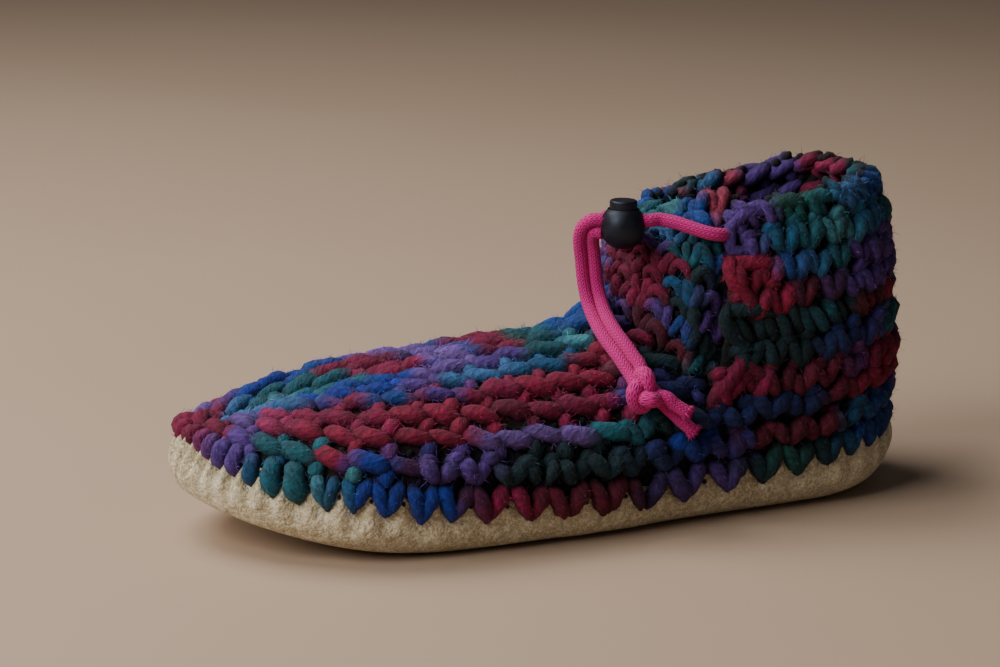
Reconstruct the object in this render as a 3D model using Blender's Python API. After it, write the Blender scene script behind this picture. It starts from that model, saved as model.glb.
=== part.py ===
# A left slipper bootie: a crocheted wool upper on a soft suede moccasin sole.
# Metres. The toe points to -Y, the heel to +Y, the outer side to +X, the floor is z = 0.

import math

import bmesh
import bpy
import numpy as np
from mathutils import Matrix, Vector

# Whole shoe
LENGTH = 0.255
BALL_WIDTH = 0.098
TOE_TURN = 0.005
TOE_SPRING = 0.013
TOE_LIFT_SHARE = 0.33
HEEL_RISE = 0.005
HEEL_LIFT_SHARE = 0.82
FIT = 0.0004

# Suede sole
SUEDE = 0.0028
SIDE_INSET = 0.011
SIDE_HEIGHT = 0.0095
SIDE_BEND = 0.3
RIM_LEAN = 0.008
RIM_LAP = 0.55
PUCKER = 0.0010
RIM_PUCKER = 0.4

# Stitches along the seam
STITCH_PITCH = 0.0136
SEAM_HEIGHT = 0.034
TOOTH = 0.0040
TOOTH_TIP = 0.0015

# Fleece
INSOLE = 0.006
INSOLE_EDGE = 0.4
INSOLE_TURN = 0.0055

# Wool upper
WALL = 0.0065
SKIRT = 0.0032
SKIRT_FIT = 0.0010
RIB = 0.0013
GROOVE = 0.0006
CORNER_Y = 0.044
APEX_Y = -0.086
THROAT_Y = 0.020
VAMP_HEIGHT = 0.060
VAMP_POWER = 2.25
BORDER_SWEEP = 2.0
RIDGE_CROWD = 0.45
RIDGE_TURN = 0.4
COLLAR_HEIGHT = 0.110
COLLAR_DROP = 0.011
COLLAR_FRONT = 0.036
COLLAR_BACK = 0.1165
COLLAR_WIDTH = 0.066
COLLAR_POWER = 2.3
ANKLE_SWEEP = 3.0
QUARTER_Y = 0.052

# Wool tongue
TONGUE_WALL = 0.0055
TONGUE_BULGE = 0.0065
TONGUE_CROWN = 1.25
TONGUE_TURN_IN = 0.012
TONGUE_GAP = 0.0011
TUCK_FIT = 0.0020
TONGUE_RIBS = 8
TONGUE_ROWS = 8

# Cord and its lock
CORD = 0.0042
CORD_SIDES = 8
PAIR_GAP = 0.0003
LOCK_CENTRE = (0.0188, 0.0183, 0.0965)
LOCK_AIM = math.radians(66.6)
LOCK_WIDTH = 0.0146
LOCK_RINGS = 9
LOCK_SIDES = 20
SLOT_FIT = 0.0004
BUTTON_WIDTH = 0.0090
BUTTON_HEIGHT = 0.0033
BUTTON_EDGE = 0.0006
BUTTON_DEPTH = 0.0010
BUTTON_TRAVEL = 0.0026
BUTTON_FIT = 0.0004
BUTTON_SIDES = 16
KNOT_CENTRE = (0.0436, 0.0152, 0.0476)
KNOT_SIZE = (0.0120, 0.0110, 0.0165)
KNOT_AIM = (0.53, -0.08, -0.84)
KNOT_SIDES = 12

# Routes of the cord, chosen by hand: the outer run, the inner run behind the lock,
# the hanging pair's middle line from the lock to the knot, and the two tails
OUTER_RUN = (
    (0.0209, 0.0233, 0.0985), (0.0221, 0.0260, 0.0985), (0.0222, 0.0299, 0.0986),
    (0.0252, 0.0345, 0.0978), (0.0286, 0.0388, 0.0963), (0.0314, 0.0434, 0.0949),
    (0.0318, 0.0468, 0.0943), (0.0304, 0.0501, 0.0937),
)
INNER_RUN = (
    (0.0209, 0.0233, 0.0945), (0.0220, 0.0258, 0.0945), (0.0213, 0.0279, 0.0944),
    (0.0189, 0.0284, 0.0943), (0.0155, 0.0274, 0.0942), (0.0106, 0.0248, 0.0941),
    (0.0050, 0.0239, 0.0941), (0.0000, 0.0243, 0.0941), (-0.0055, 0.0241, 0.0942),
    (-0.0112, 0.0266, 0.0943), (-0.0164, 0.0287, 0.0943), (-0.0218, 0.0333, 0.0943),
    (-0.0270, 0.0364, 0.0943), (-0.0306, 0.0410, 0.0943), (-0.0318, 0.0459, 0.0942),
    (-0.0300, 0.0502, 0.0937),
)
PAIR_LINE = (
    (0.0156, 0.0110, 0.0965), (0.0149, 0.0094, 0.0964), (0.0134, 0.0086, 0.0952),
    (0.0108, 0.0089, 0.0911), (0.0093, 0.0103, 0.0851), (0.0090, 0.0114, 0.0772),
    (0.0107, 0.0121, 0.0713), (0.0156, 0.0120, 0.0668), (0.0236, 0.0121, 0.0622),
    (0.0312, 0.0134, 0.0578), (0.0375, 0.0149, 0.0530),
)
TAILS = (
    ((0.0476, 0.0209, 0.0462), (0.0486, 0.0236, 0.0439), (0.0503, 0.0271, 0.0414)),
    ((0.0437, 0.0209, 0.0439), (0.0446, 0.0242, 0.0408), (0.0459, 0.0277, 0.0373), (0.0470, 0.0310, 0.0342)),
)
PAIR_FACES = (0.913, -0.407, 0.0)
ROUTE_STEP = 1.6

# Colour and roughness of the cord and its lock
PINK, COTTON = (0.62, 0.05, 0.24), 0.8
BLACK, SATIN = (0.012, 0.012, 0.016), 0.4

# Rows of crochet: rounds below the throat's corners, then rows over the vamp and up the ankle
ROUNDS = 3
VAMP_ROWS = 5
ANKLE_ROWS = 7
CORNER_BLEND = 5

# along: share of the length from the toe. outer, inner: half widths, shares of the ball width
OUTLINE = {
    "along": (0.00, 0.20, 0.30, 0.38, 0.48, 0.58, 0.68, 0.78, 0.88, 1.00),
    "outer": (0.405, 0.480, 0.500, 0.500, 0.485, 0.462, 0.440, 0.422, 0.400, 0.380),
    "inner": (0.410, 0.482, 0.500, 0.488, 0.435, 0.380, 0.352, 0.354, 0.372, 0.376),
}
TOE_ROUND_SHARE = 0.25
TOE_POWER = 2.25
HEEL_ROUND_SHARE = 0.15
HEEL_POWER = 2.1

# how far the suede leans in from the outline at its rim, a share of the rim's lean
LEANS = {
    "along": (0.00, 0.20, 0.85, 1.00),
    "share": (1.00, 0.28, 0.28, 0.62),
}

# depth of the suede's puckers, a share of the full depth
PUCKERS = {
    "along": (0.10, 0.40, 0.75, 0.95),
    "share": (1.00, 0.45, 0.45, 1.00),
}

# the round between the sole's underside and its side: shares of the side's inset and height
UNDERSIDE = {
    "inset_share": (1.00, 0.33, 0.00),
    "height_share": (0.00, 0.26, 1.00),
}

# height of the stitches' lower tips, a share of that at the toe
SEAM = {
    "along": (0.00, 0.04, 0.10, 0.20, 0.30, 0.42, 0.60, 0.72, 0.82, 0.90, 1.00),
    "share": (1.00, 0.81, 0.66, 0.53, 0.43, 0.335, 0.325, 0.37, 0.455, 0.57, 0.64),
}

# distance between stitches, a share of the full pitch
GATHER = {
    "along": (0.00, 0.02, 0.10, 0.25, 0.42, 0.74, 0.87, 1.00),
    "share": (0.40, 0.42, 0.64, 0.77, 1.00, 1.00, 0.74, 0.62),
}

# height of the ridge over the vamp, a share of that at the instep
RIDGE = {
    "along": (0.10, 0.178, 0.276, 0.343, 0.437, 0.52, 0.578),
    "share": (0.60, 0.70, 0.83, 0.885, 0.945, 1.00, 1.12),
}


def smooth(table, column, along):
    # A cubic through the table's rows.
    x = np.array(table["along"])
    y = np.array(table[column])
    slope = np.gradient(y, x)
    along = np.clip(along, x[0], x[-1])
    i = np.clip(np.searchsorted(x, along) - 1, 0, len(x) - 2)
    step = x[i + 1] - x[i]
    t = (along - x[i]) / step
    start = y[i] * (1 + 2 * t) + slope[i] * step * t
    end = y[i + 1] * (3 - 2 * t) - slope[i + 1] * step * (1 - t)
    return start * (1 - t) ** 2 + end * t**2


def eased(table, along):
    # Level at each of the table's rows, with a soft step from one to the next.
    x, y = table["along"], table["share"]
    change = [(b - a) * ramp(along, low, high) for a, b, low, high in zip(y, y[1:], x, x[1:])]
    return y[0] + sum(change)


def ramp(value, low, high):
    t = np.clip((value - low) / (high - low), 0, 1)
    return t * t * (3 - 2 * t)


def rounded(share, power):
    return (1 - (1 - np.clip(share, 0, 1)) ** power) ** (1 / power)


def lengths(line):
    # Distance along a line of points, starting at 0.
    return np.concatenate([[0], np.cumsum(np.linalg.norm(np.diff(line, axis=0), axis=1))])


def spread(line, measure, at):
    # Points where a measure along the line has these values.
    return np.column_stack([np.interp(at, measure, line[:, k]) for k in range(line.shape[1])])


def outline_side(side):
    # Half of the sole's outline, from toe to heel.
    along = (1 - np.cos(np.linspace(0, math.pi, 721))) / 2
    column = "outer" if side > 0 else "inner"
    ends = rounded(along / TOE_ROUND_SHARE, TOE_POWER) * rounded((1 - along) / HEEL_ROUND_SHARE, HEEL_POWER)
    x = side * smooth(OUTLINE, column, along) * BALL_WIDTH * ends
    x = x - TOE_TURN * np.clip(1 - along / TOE_ROUND_SHARE, 0, 1) ** 2
    return np.column_stack([x, (along - 0.5) * LENGTH])


def stitches_along(line):
    along = line[:, 1] / LENGTH + 0.5
    pitch = STITCH_PITCH * smooth(GATHER, "share", (along[1:] + along[:-1]) / 2)
    return np.concatenate([[0], np.cumsum(np.diff(lengths(line)) / pitch)])


def plan_outline():
    # Two points for each stitch, round the outer side and back along the inner one.
    outer = outline_side(1)
    inner = outline_side(-1)
    count = 2 * round(stitches_along(outer)[-1]) + 1
    sides = []
    for line in (outer, inner):
        measure = stitches_along(line)
        sides.append(spread(line, measure, np.linspace(0, measure[-1], count)))
    return np.vstack([sides[0], sides[1][-2:0:-1]])


PLAN = plan_outline()
COUNT = len(PLAN)
ALONG = PLAN[:, 1] / LENGTH + 0.5
ODD = np.arange(COUNT) % 2
TANGENT = np.roll(PLAN, -1, axis=0) - np.roll(PLAN, 1, axis=0)
OUT = np.column_stack([TANGENT[:, 1], -TANGENT[:, 0]])
OUT = OUT / np.linalg.norm(OUT, axis=1)[:, None]

TOE_LIFT = TOE_SPRING * np.clip(1 - ALONG / TOE_LIFT_SHARE, 0, 1) ** 2
HEEL_LIFT = HEEL_RISE * np.clip((ALONG - HEEL_LIFT_SHARE) / (1 - HEEL_LIFT_SHARE), 0, 1) ** 2
BASE = TOE_LIFT + HEEL_LIFT
TIP = SEAM_HEIGHT * smooth(SEAM, "share", ALONG)
LEAN = RIM_LEAN * eased(LEANS, ALONG)
STEP = np.minimum(np.arange(COUNT), COUNT - np.arange(COUNT))


def moved(inset, height):
    # The outline moved inwards, at these heights.
    inset = np.broadcast_to(inset, COUNT)[:, None]
    return np.column_stack([PLAN - OUT * inset, np.broadcast_to(height, COUNT)])


# Paths of the upper's stitch columns, from the seam to the ridge or to the collar

FINE = 61
CORNER = int(np.argmin(np.abs(PLAN[: COUNT // 2, 1] - CORNER_Y)))
START = moved(LEAN - FIT - SKIRT, TIP)


def ridge_points():
    # Where each column of the vamp ends, on the line over the toe and instep.
    step = np.minimum(STEP / CORNER, 1)
    y = APEX_Y + (THROAT_Y - APEX_Y) * ((1 - RIDGE_CROWD) * step + RIDGE_CROWD * step**2)
    z = VAMP_HEIGHT * smooth(RIDGE, "share", y / LENGTH + 0.5)
    x = -RIDGE_TURN * TOE_TURN * np.clip((THROAT_Y - y) / (THROAT_Y - APEX_Y), 0, 1)
    return np.column_stack([x, y, z])


def collar_oval(turn):
    # The collar's rim seen from above, turn 0 at the back, growing towards the outer side.
    half = (COLLAR_BACK - COLLAR_FRONT) / 2
    middle = COLLAR_BACK - half
    side, back = np.sin(turn), np.cos(turn)
    x = np.sign(side) * np.abs(side) ** (2 / COLLAR_POWER) * COLLAR_WIDTH / 2
    y = middle + np.sign(back) * np.abs(back) ** (2 / COLLAR_POWER) * half
    z = COLLAR_HEIGHT - COLLAR_DROP * ((COLLAR_BACK - y) / (COLLAR_BACK - COLLAR_FRONT)) ** 2
    return np.column_stack([x, y, z])


def collar_turn():
    # The turn at which the rim reaches the quarters' front edges.
    turn = np.linspace(0.5 * math.pi, math.pi, 400)
    return float(np.interp(-QUARTER_Y, -collar_oval(turn)[:, 1], turn))


def ankle_share():
    # 0 at the outer front edge, 1 at the inner one, by distance round the heel.
    at = lengths(PLAN)
    return np.clip((at - at[CORNER]) / (at[COUNT - CORNER] - at[CORNER]), 0, 1)


def collar_points():
    edge = collar_turn()
    line = collar_oval(np.linspace(edge, -edge, 400))
    measure = lengths(line)
    return spread(line, measure, ankle_share() * measure[-1])


def vamp_paths():
    end = ridge_points()
    step = np.minimum(STEP / CORNER, 1)[:, None]
    turn = np.linspace(0, math.pi / 2, FINE)[None]
    across = 1 - np.cos(turn) ** (2 / VAMP_POWER) + 0 * step
    rise = np.sin(turn) ** (2 / VAMP_POWER) + 0 * step
    forward = 1 - (1 - across) ** (1 + BORDER_SWEEP * step**3)
    return START[:, None] + (end - START)[:, None] * np.stack([across, forward, rise], axis=2)


def ankle_paths():
    end = collar_points()
    rise = np.linspace(0, 1, FINE)[None]
    share = ankle_share()[:, None]
    lean_y = rise ** (1 + ANKLE_SWEEP * np.sin(math.pi * share) ** 2)
    lean_x = np.broadcast_to(rise**3, lean_y.shape)
    up = np.broadcast_to(rise, lean_y.shape)
    return START[:, None] + (end - START)[:, None] * np.stack([lean_x, lean_y, up], axis=2)


def at_rows(paths, shares):
    # Points at these shares of each path's length.
    found = []
    for path in paths:
        measure = lengths(path)
        found.append(spread(path, measure, np.asarray(shares) * measure[-1]))
    return np.array(found)


def rows_of(paths, rows):
    # A zone's share of the paths: its rounds, and the rows above them, each in half rows.
    total = ROUNDS + rows
    low = at_rows(paths, np.arange(2 * ROUNDS + 1) / 2 / total)
    high = at_rows(paths, (ROUNDS + np.arange(2 * rows + 1) / 2) / total)
    return low, high


def joined_to(low, high):
    # Moves the rows above so that they start on the last round.
    fade = np.linspace(1, 0, high.shape[1]) ** 2
    return high + (low[:, -1:] - high[:, :1]) * fade[None, :, None]


def base_grid():
    # The upper's mean outer face: rounds, vamp and ankle, each [column, half row].
    low_vamp, vamp = rows_of(vamp_paths(), VAMP_ROWS)
    low_ankle, ankle = rows_of(ankle_paths(), ANKLE_ROWS)
    blend = ramp(STEP, CORNER - CORNER_BLEND, CORNER + CORNER_BLEND)[:, None, None]
    low = (1 - blend) * low_vamp + blend * low_ankle
    return low, joined_to(low, vamp), joined_to(low, ankle)


LOW, VAMP, ANKLE = base_grid()
PITCH = np.linalg.norm(LOW[:, 2] - LOW[:, 0], axis=1)
RIM = TIP + RIM_LAP * PITCH


class Grid:
    # Gathers points and faces of one closed wall.
    def __init__(self):
        self.points = []
        self.faces = []

    def add(self, point):
        self.points.append(np.asarray(point, float))
        return len(self.points) - 1

    def row(self, points):
        return [self.add(point) for point in points]

    def strip(self, first, second):
        for i in range(len(first) - 1):
            corners = dict.fromkeys((first[i], first[i + 1], second[i + 1], second[i]))
            self.faces.append(tuple(corners))

    def zip_up(self, fine, coarse):
        # Joins an edge to one with half as many steps.
        for i in range(len(coarse) - 1):
            a, b, c = fine[2 * i : 2 * i + 3]
            self.faces += [(a, b, coarse[i]), (b, coarse[i + 1], coarse[i]), (b, c, coarse[i + 1])]


def finish(item, colour, roughness):
    material = bpy.data.materials.new(item.name)
    material.use_nodes = True
    shader = material.node_tree.nodes["Principled BSDF"]
    shader.inputs["Base Color"].default_value = (*colour, 1)
    shader.inputs["Roughness"].default_value = roughness
    shader.inputs["Metallic"].default_value = 0
    item.data.materials.append(material)


def mesh_object(name, grid, colour, roughness):
    mesh = bpy.data.meshes.new(name)
    mesh.from_pydata(np.array(grid.points).tolist(), [], grid.faces)
    work = bmesh.new()
    work.from_mesh(mesh)
    bmesh.ops.triangulate(work, faces=work.faces)
    bmesh.ops.recalc_face_normals(work, faces=work.faces)
    work.to_mesh(mesh)
    work.free()
    mesh.shade_smooth()
    mesh.set_sharp_from_angle(angle=math.radians(50))
    item = bpy.data.objects.new(name, mesh)
    bpy.context.collection.objects.link(item)
    finish(item, colour, roughness)
    return item


def ladder(ring):
    # Closes a ring with rungs from its outer side to its inner side.
    faces = []
    for i in range(len(ring) // 2):
        corners = (ring[i], ring[i + 1], ring[-i - 1], ring[-i])
        faces.append(tuple(dict.fromkeys(corners)))
    return faces


def suede_profile():
    # The suede's outer face from the floor to its rim: insets and heights for every column.
    wave = PUCKER * (1 - 2 * ODD) * eased(PUCKERS, ALONG)
    wide = BASE + SIDE_HEIGHT
    insets = [share * SIDE_INSET + 0 * wave for share in UNDERSIDE["inset_share"]]
    heights = [BASE + share * SIDE_HEIGHT for share in UNDERSIDE["height_share"]]
    insets += [SIDE_BEND * LEAN + wave, LEAN + RIM_PUCKER * wave]
    heights += [SIDE_BEND * wide + (1 - SIDE_BEND) * TIP, RIM]
    return np.array(insets), np.array(heights)


def suede_inset(height):
    # How far in the suede's outer face stands at these heights.
    insets, heights = suede_profile()
    return np.array([np.interp(height[i], heights[2:, i], insets[2:, i]) for i in range(COUNT)])


def build_sole():
    insets, heights = suede_profile()
    cup = Grid()
    outside = [cup.row(moved(inset, height)) for inset, height in zip(insets, heights)]
    lifts = np.array([SUEDE, SUEDE * (1 - UNDERSIDE["height_share"][1]), 0, 0, 0])
    inside = [cup.row(moved(insets[k] + SUEDE, heights[k] + lifts[k])[::2]) for k in (4, 3, 2, 1, 0)]
    for rings in (outside, inside):
        for below, above in zip(rings, rings[1:]):
            cup.strip(below + below[:1], above + above[:1])
    cup.zip_up(outside[-1] + outside[-1][:1], inside[0] + inside[0][:1])
    cup.faces += ladder(outside[0]) + ladder(inside[-1])
    mesh_object("sole", cup, (0.62, 0.55, 0.40), 0.95)


def build_insole():
    edge = SIDE_INSET + SUEDE + FIT
    side = edge - INSOLE_TURN
    low = BASE + SUEDE + FIT
    pad = Grid()
    places = ((edge, low), (side, low + INSOLE_EDGE * INSOLE), (side, low + INSOLE))
    rings = [pad.row(moved(inset, height)[::2]) for inset, height in places]
    for below, above in zip(rings, rings[1:]):
        pad.strip(below + below[:1], above + above[:1])
    pad.faces += ladder(rings[0]) + ladder(rings[-1])
    mesh_object("fleece_insole", pad, (0.80, 0.76, 0.66), 1.0)


def vertex_normals(points, faces):
    normal = np.zeros_like(points)
    for face in faces:
        for k in range(1, len(face) - 1):
            a, b, c = face[0], face[k], face[k + 1]
            cross = np.cross(points[b] - points[a], points[c] - points[a])
            for v in (a, b, c):
                normal[v] += cross
    return normal / np.linalg.norm(normal, axis=1)[:, None]


def upper_face(grid):
    # The upper's outer face over rounds, vamp and ankle. Returns its rows of point numbers.
    rounds = [grid.row(LOW[:, j]) for j in range(LOW.shape[1])]
    for below, above in zip(rounds, rounds[1:]):
        grid.strip(below + below[:1], above + above[:1])
    top = rounds[-1]
    front = [(c % COUNT) for c in range(-CORNER, CORNER + 1)]
    rows = [[top[c] for c in front]]
    for j in range(1, VAMP.shape[1] - 1):
        rows.append(grid.row(VAMP[front, j]))
    half = grid.row(VAMP[: CORNER + 1, -1])
    rows.append(half[:0:-1] + half)
    for below, above in zip(rows, rows[1:]):
        grid.strip(below, above)
    back = list(range(CORNER, COUNT - CORNER + 1))
    walls = [[top[c] for c in back]]
    for j in range(1, ANKLE.shape[1]):
        walls.append(grid.row(ANKLE[back, j]))
    for below, above in zip(walls, walls[1:]):
        grid.strip(below, above)
    return rounds, rows, walls


def ribbed(points, normals, groups):
    # The outer face with a rib along the middle of each row and a groove between rows.
    raised = np.zeros(len(points))
    for group in groups:
        for j, line in enumerate(group):
            raised[line] = RIB if j % 2 else -GROOVE
    return points + normals * raised[:, None]


def lined(whole, inner, groups):
    # The inner face, on every second line of the outer one.
    numbers = {}
    for group in groups:
        for line in group[::2]:
            for number in line:
                if number not in numbers:
                    numbers[number] = whole.add(inner[number])
    return [[[numbers[number] for number in line] for line in group[::2]] for group in groups]


def build_upper():
    whole = Grid()
    rounds, rows, walls = upper_face(whole)
    points = np.array(whole.points)
    normals = vertex_normals(points, whole.faces)
    normals *= np.sign((normals[:COUNT, :2] * OUT).sum())
    outer = ribbed(points, normals, (rounds, rows, walls))
    foot = TIP + TOOTH * ODD
    outside = suede_inset(foot) - SKIRT_FIT
    outer[rounds[0]] = moved(outside - TOOTH_TIP, foot)
    inner = points - normals * WALL
    for line in rounds[2::2]:
        inner[line, 2] = np.maximum(inner[line, 2], RIM + 2 * FIT)
    whole.points = list(outer)
    inner_rounds, inner_rows, inner_walls = lined(whole, inner, (rounds[2:], rows, walls))
    ledge = RIM + FIT
    skirt = [
        whole.row(moved(outside, foot)),
        whole.row(moved(LEAN - RIM_PUCKER * PUCKER - SKIRT_FIT, ledge)),
        whole.row(moved(LEAN - FIT - SKIRT + WALL, ledge)),
    ]
    rings = rounds[:1] + skirt + inner_rounds
    for below, above in zip(rings, rings[1:]):
        whole.strip(below + below[:1], above + above[:1])
    for group in (inner_rows, inner_walls):
        for below, above in zip(group, group[1:]):
            whole.strip(below, above)
    whole.strip(walls[-1], inner_walls[-1])
    for group, inner_group in ((rows, inner_rows), (walls, inner_walls)):
        for end in (0, -1):
            whole.zip_up([line[end] for line in group], [line[end] for line in inner_group])
    mesh_object("upper", whole, (0.20, 0.16, 0.42), 0.9)


def tongue_grid():
    # The tongue's mean outer face between the vamp's edge, the quarters and the rim: [column, row].
    rows = np.linspace(0, 1, TONGUE_ROWS + 1)
    columns = np.linspace(0, 1, 2 * TONGUE_RIBS + 1)
    low = np.vstack([VAMP[CORNER], VAMP[-CORNER, -2::-1]])
    low = spread(low, lengths(low) / lengths(low)[-1], columns)
    edge = collar_turn()
    high = collar_oval(np.linspace(edge, 2 * math.pi - edge, 4 * FINE))
    high = spread(high, lengths(high) / lengths(high)[-1], columns)
    sides = []
    for column in (CORNER + 2, CORNER, -CORNER, -CORNER - 2):
        path = ANKLE[column]
        sides.append(spread(path, lengths(path) / lengths(path)[-1], rows))
    c, r = columns[:, None, None], rows[None, :, None]
    across = (1 - r) * low[:, None] + r * high[:, None]
    along = (1 - c) * sides[1][None] + c * sides[2][None]
    foot = (1 - c) * low[0] + c * low[-1]
    rim = (1 - c) * high[0] + c * high[-1]
    middle = across + along - (1 - r) * foot - r * rim
    outer_tuck = (sides[0] + sides[1]) / 2
    inner_tuck = (sides[2] + sides[3]) / 2
    points = np.concatenate([outer_tuck[None], middle, inner_tuck[None]])
    return points, np.concatenate([[0], columns, [1]]), rows


def grid_normals(points):
    # Outward normals of a grid whose columns run from the outer side to the inner one.
    across = np.gradient(points, axis=0)
    up = np.gradient(points, axis=1)
    normal = np.cross(up, across)
    return normal / np.linalg.norm(normal, axis=2)[:, :, None]


def build_tongue():
    points, columns, rows = tongue_grid()
    normals = grid_normals(points)
    width = lengths(points[1:-1, TONGUE_ROWS // 2])[-1]
    from_edge = np.minimum(columns, 1 - columns) * width
    turned_in = (WALL + TUCK_FIT) * (1 - ramp(from_edge, 0, TONGUE_TURN_IN))
    crown = np.outer(4 * columns * (1 - columns), np.sin(math.pi * rows**TONGUE_CROWN))
    rib = np.where(np.arange(len(columns)) % 2, -GROOVE, RIB)
    above_vamp = points[:, 1] - points[:, 0]
    above_vamp /= np.linalg.norm(above_vamp, axis=1)[:, None]
    points[:, 0] += above_vamp * TONGUE_GAP
    proud = TONGUE_BULGE * crown - turned_in[:, None]
    outer = points + normals * (proud + rib[:, None])[:, :, None]
    inner = points + normals * (proud - TONGUE_WALL)[:, :, None]
    wall = Grid()
    front = [wall.row(column) for column in outer]
    back = [wall.row(column) for column in inner]
    ring = front + back[::-1] + front[:1]
    for first, second in zip(ring, ring[1:]):
        wall.strip(first, second)
    for end in (0, -1):
        wall.strip([line[end] for line in front], [line[end] for line in back])
    mesh_object("tongue", wall, (0.35, 0.08, 0.18), 0.9)


def evenly(line, spacing):
    measure = lengths(line)
    return spread(line, measure, np.linspace(0, measure[-1], round(measure[-1] / spacing) + 1))


def route(points, spacing):
    # A smooth curve through these points, read at an even spacing.
    points = np.array(points)
    ends = np.vstack([2 * points[0] - points[1], points, 2 * points[-1] - points[-2]])
    t = np.linspace(0, 1, FINE)[:-1, None]
    parts = []
    for a, b, c, d in zip(ends, ends[1:], ends[2:], ends[3:]):
        cubic = (2 * a - 5 * b + 4 * c - d) * t**2 + (3 * b - a - 3 * c + d) * t**3
        parts.append(b + ((c - a) * t + cubic) / 2)
    return evenly(np.vstack([*parts, points[-1:]]), spacing)


def cord_curve(name, line):
    curve = bpy.data.curves.new(name, "CURVE")
    curve.dimensions = "3D"
    curve.bevel_depth = CORD / 2
    curve.bevel_resolution = 2
    curve.use_fill_caps = True
    spline = curve.splines.new("POLY")
    spline.points.add(len(line) - 1)
    spline.points.foreach_set("co", np.column_stack([line, np.ones(len(line))]).ravel())
    item = bpy.data.objects.new(name, curve)
    bpy.context.collection.objects.link(item)
    finish(item, PINK, COTTON)


def circle(radius, sides):
    turn = np.arange(sides) * 2 * math.pi / sides
    return radius * np.cos(turn), radius * np.sin(turn)


def cord_mesh(name, line):
    # A round tube with flat ends along a line that doesn't stand upright.
    tangent = np.gradient(line, axis=0)
    across = np.cross(tangent, (0, 0, 1))
    upward = np.cross(across, tangent)
    across /= np.linalg.norm(across, axis=1)[:, None]
    upward /= np.linalg.norm(upward, axis=1)[:, None]
    side, rise = circle(CORD / 2, CORD_SIDES)
    tube = Grid()
    rings = []
    for middle, a, b in zip(line, across, upward):
        rings.append(tube.row(middle + np.outer(side, a) + np.outer(rise, b)))
    for first, second in zip(rings, rings[1:]):
        tube.strip(first + first[:1], second + second[:1])
    tube.faces += [tuple(rings[0]), tuple(rings[-1])]
    return mesh_object(name, tube, PINK, COTTON)


def boolean(item, tool, operation):
    tool.hide_render = True
    tool.display_type = "WIRE"
    change = item.modifiers.new(tool.name, "BOOLEAN")
    change.operation = operation
    change.object = tool
    change.solver = "EXACT"


def build_crossing():
    outer = cord_mesh("drawcord_crossing", route(OUTER_RUN, CORD))
    inner = cord_mesh("inner_run", route(INNER_RUN, CORD))
    boolean(outer, inner, "UNION")


def build_strands():
    # Two strands side by side across the way that they face, then their tails.
    line = route(PAIR_LINE, CORD / 4)
    side = np.cross(PAIR_FACES, np.gradient(line, axis=0))
    side *= (CORD + PAIR_GAP) / 2 / np.linalg.norm(side, axis=1)[:, None]
    cord_curve("drawcord_strand_1", evenly(line - side, ROUTE_STEP * CORD))
    cord_curve("drawcord_strand_2", evenly(line + side, ROUTE_STEP * CORD))
    for number, points in enumerate(TAILS, 1):
        cord_curve(f"drawcord_tail_{number}", route(points, ROUTE_STEP * CORD))


def turned(name, profile, sides, colour, roughness):
    # Turns a profile of (radius, height) about Z. A radius of 0 closes it.
    shape = Grid()
    rings = []
    for radius, height in profile:
        if radius == 0:
            rings.append([shape.add((0, 0, height))] * sides)
            continue
        x, y = circle(radius, sides)
        rings.append(shape.row(np.column_stack([x, y, 0 * x + height])))
    for first, second in zip(rings, rings[1:]):
        shape.strip(first + first[:1], second + second[:1])
    return mesh_object(name, shape, colour, roughness)


def build_knot():
    # An egg-shaped lump, its length along its aim and its width across the way the pair faces.
    turn = np.linspace(-math.pi / 2, math.pi / 2, 9)[1:-1]
    profile = [(math.cos(a) / 2, math.sin(a) / 2) for a in turn]
    knot = turned("drawcord_knot", [(0, -0.5), *profile, (0, 0.5)], KNOT_SIDES, PINK, COTTON)
    along = Vector(KNOT_AIM).normalized()
    across = Vector(PAIR_FACES).cross(along).normalized()
    turn_to = Matrix([across, along.cross(across), along]).transposed()
    knot.data.transform(turn_to.to_4x4() @ Matrix.Diagonal((*KNOT_SIZE, 1)))
    knot.location = KNOT_CENTRE


def slot_cutter(wide, tall):
    # A bar along X with a tall section, round at its top and foot.
    turn = np.linspace(0, math.pi, 5)
    straight = (tall - wide) / 2
    top = [(wide / 2 * math.cos(a), straight + wide / 2 * math.sin(a)) for a in turn]
    section = top + [(-y, -z) for y, z in top]
    bar = Grid()
    near, far = (bar.row([(x, y, z) for y, z in section]) for x in (-LOCK_WIDTH, LOCK_WIDTH))
    bar.strip(near + near[:1], far + far[:1])
    bar.faces += [tuple(near), tuple(far)]
    return mesh_object("lock_slot", bar, BLACK, SATIN)


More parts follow.
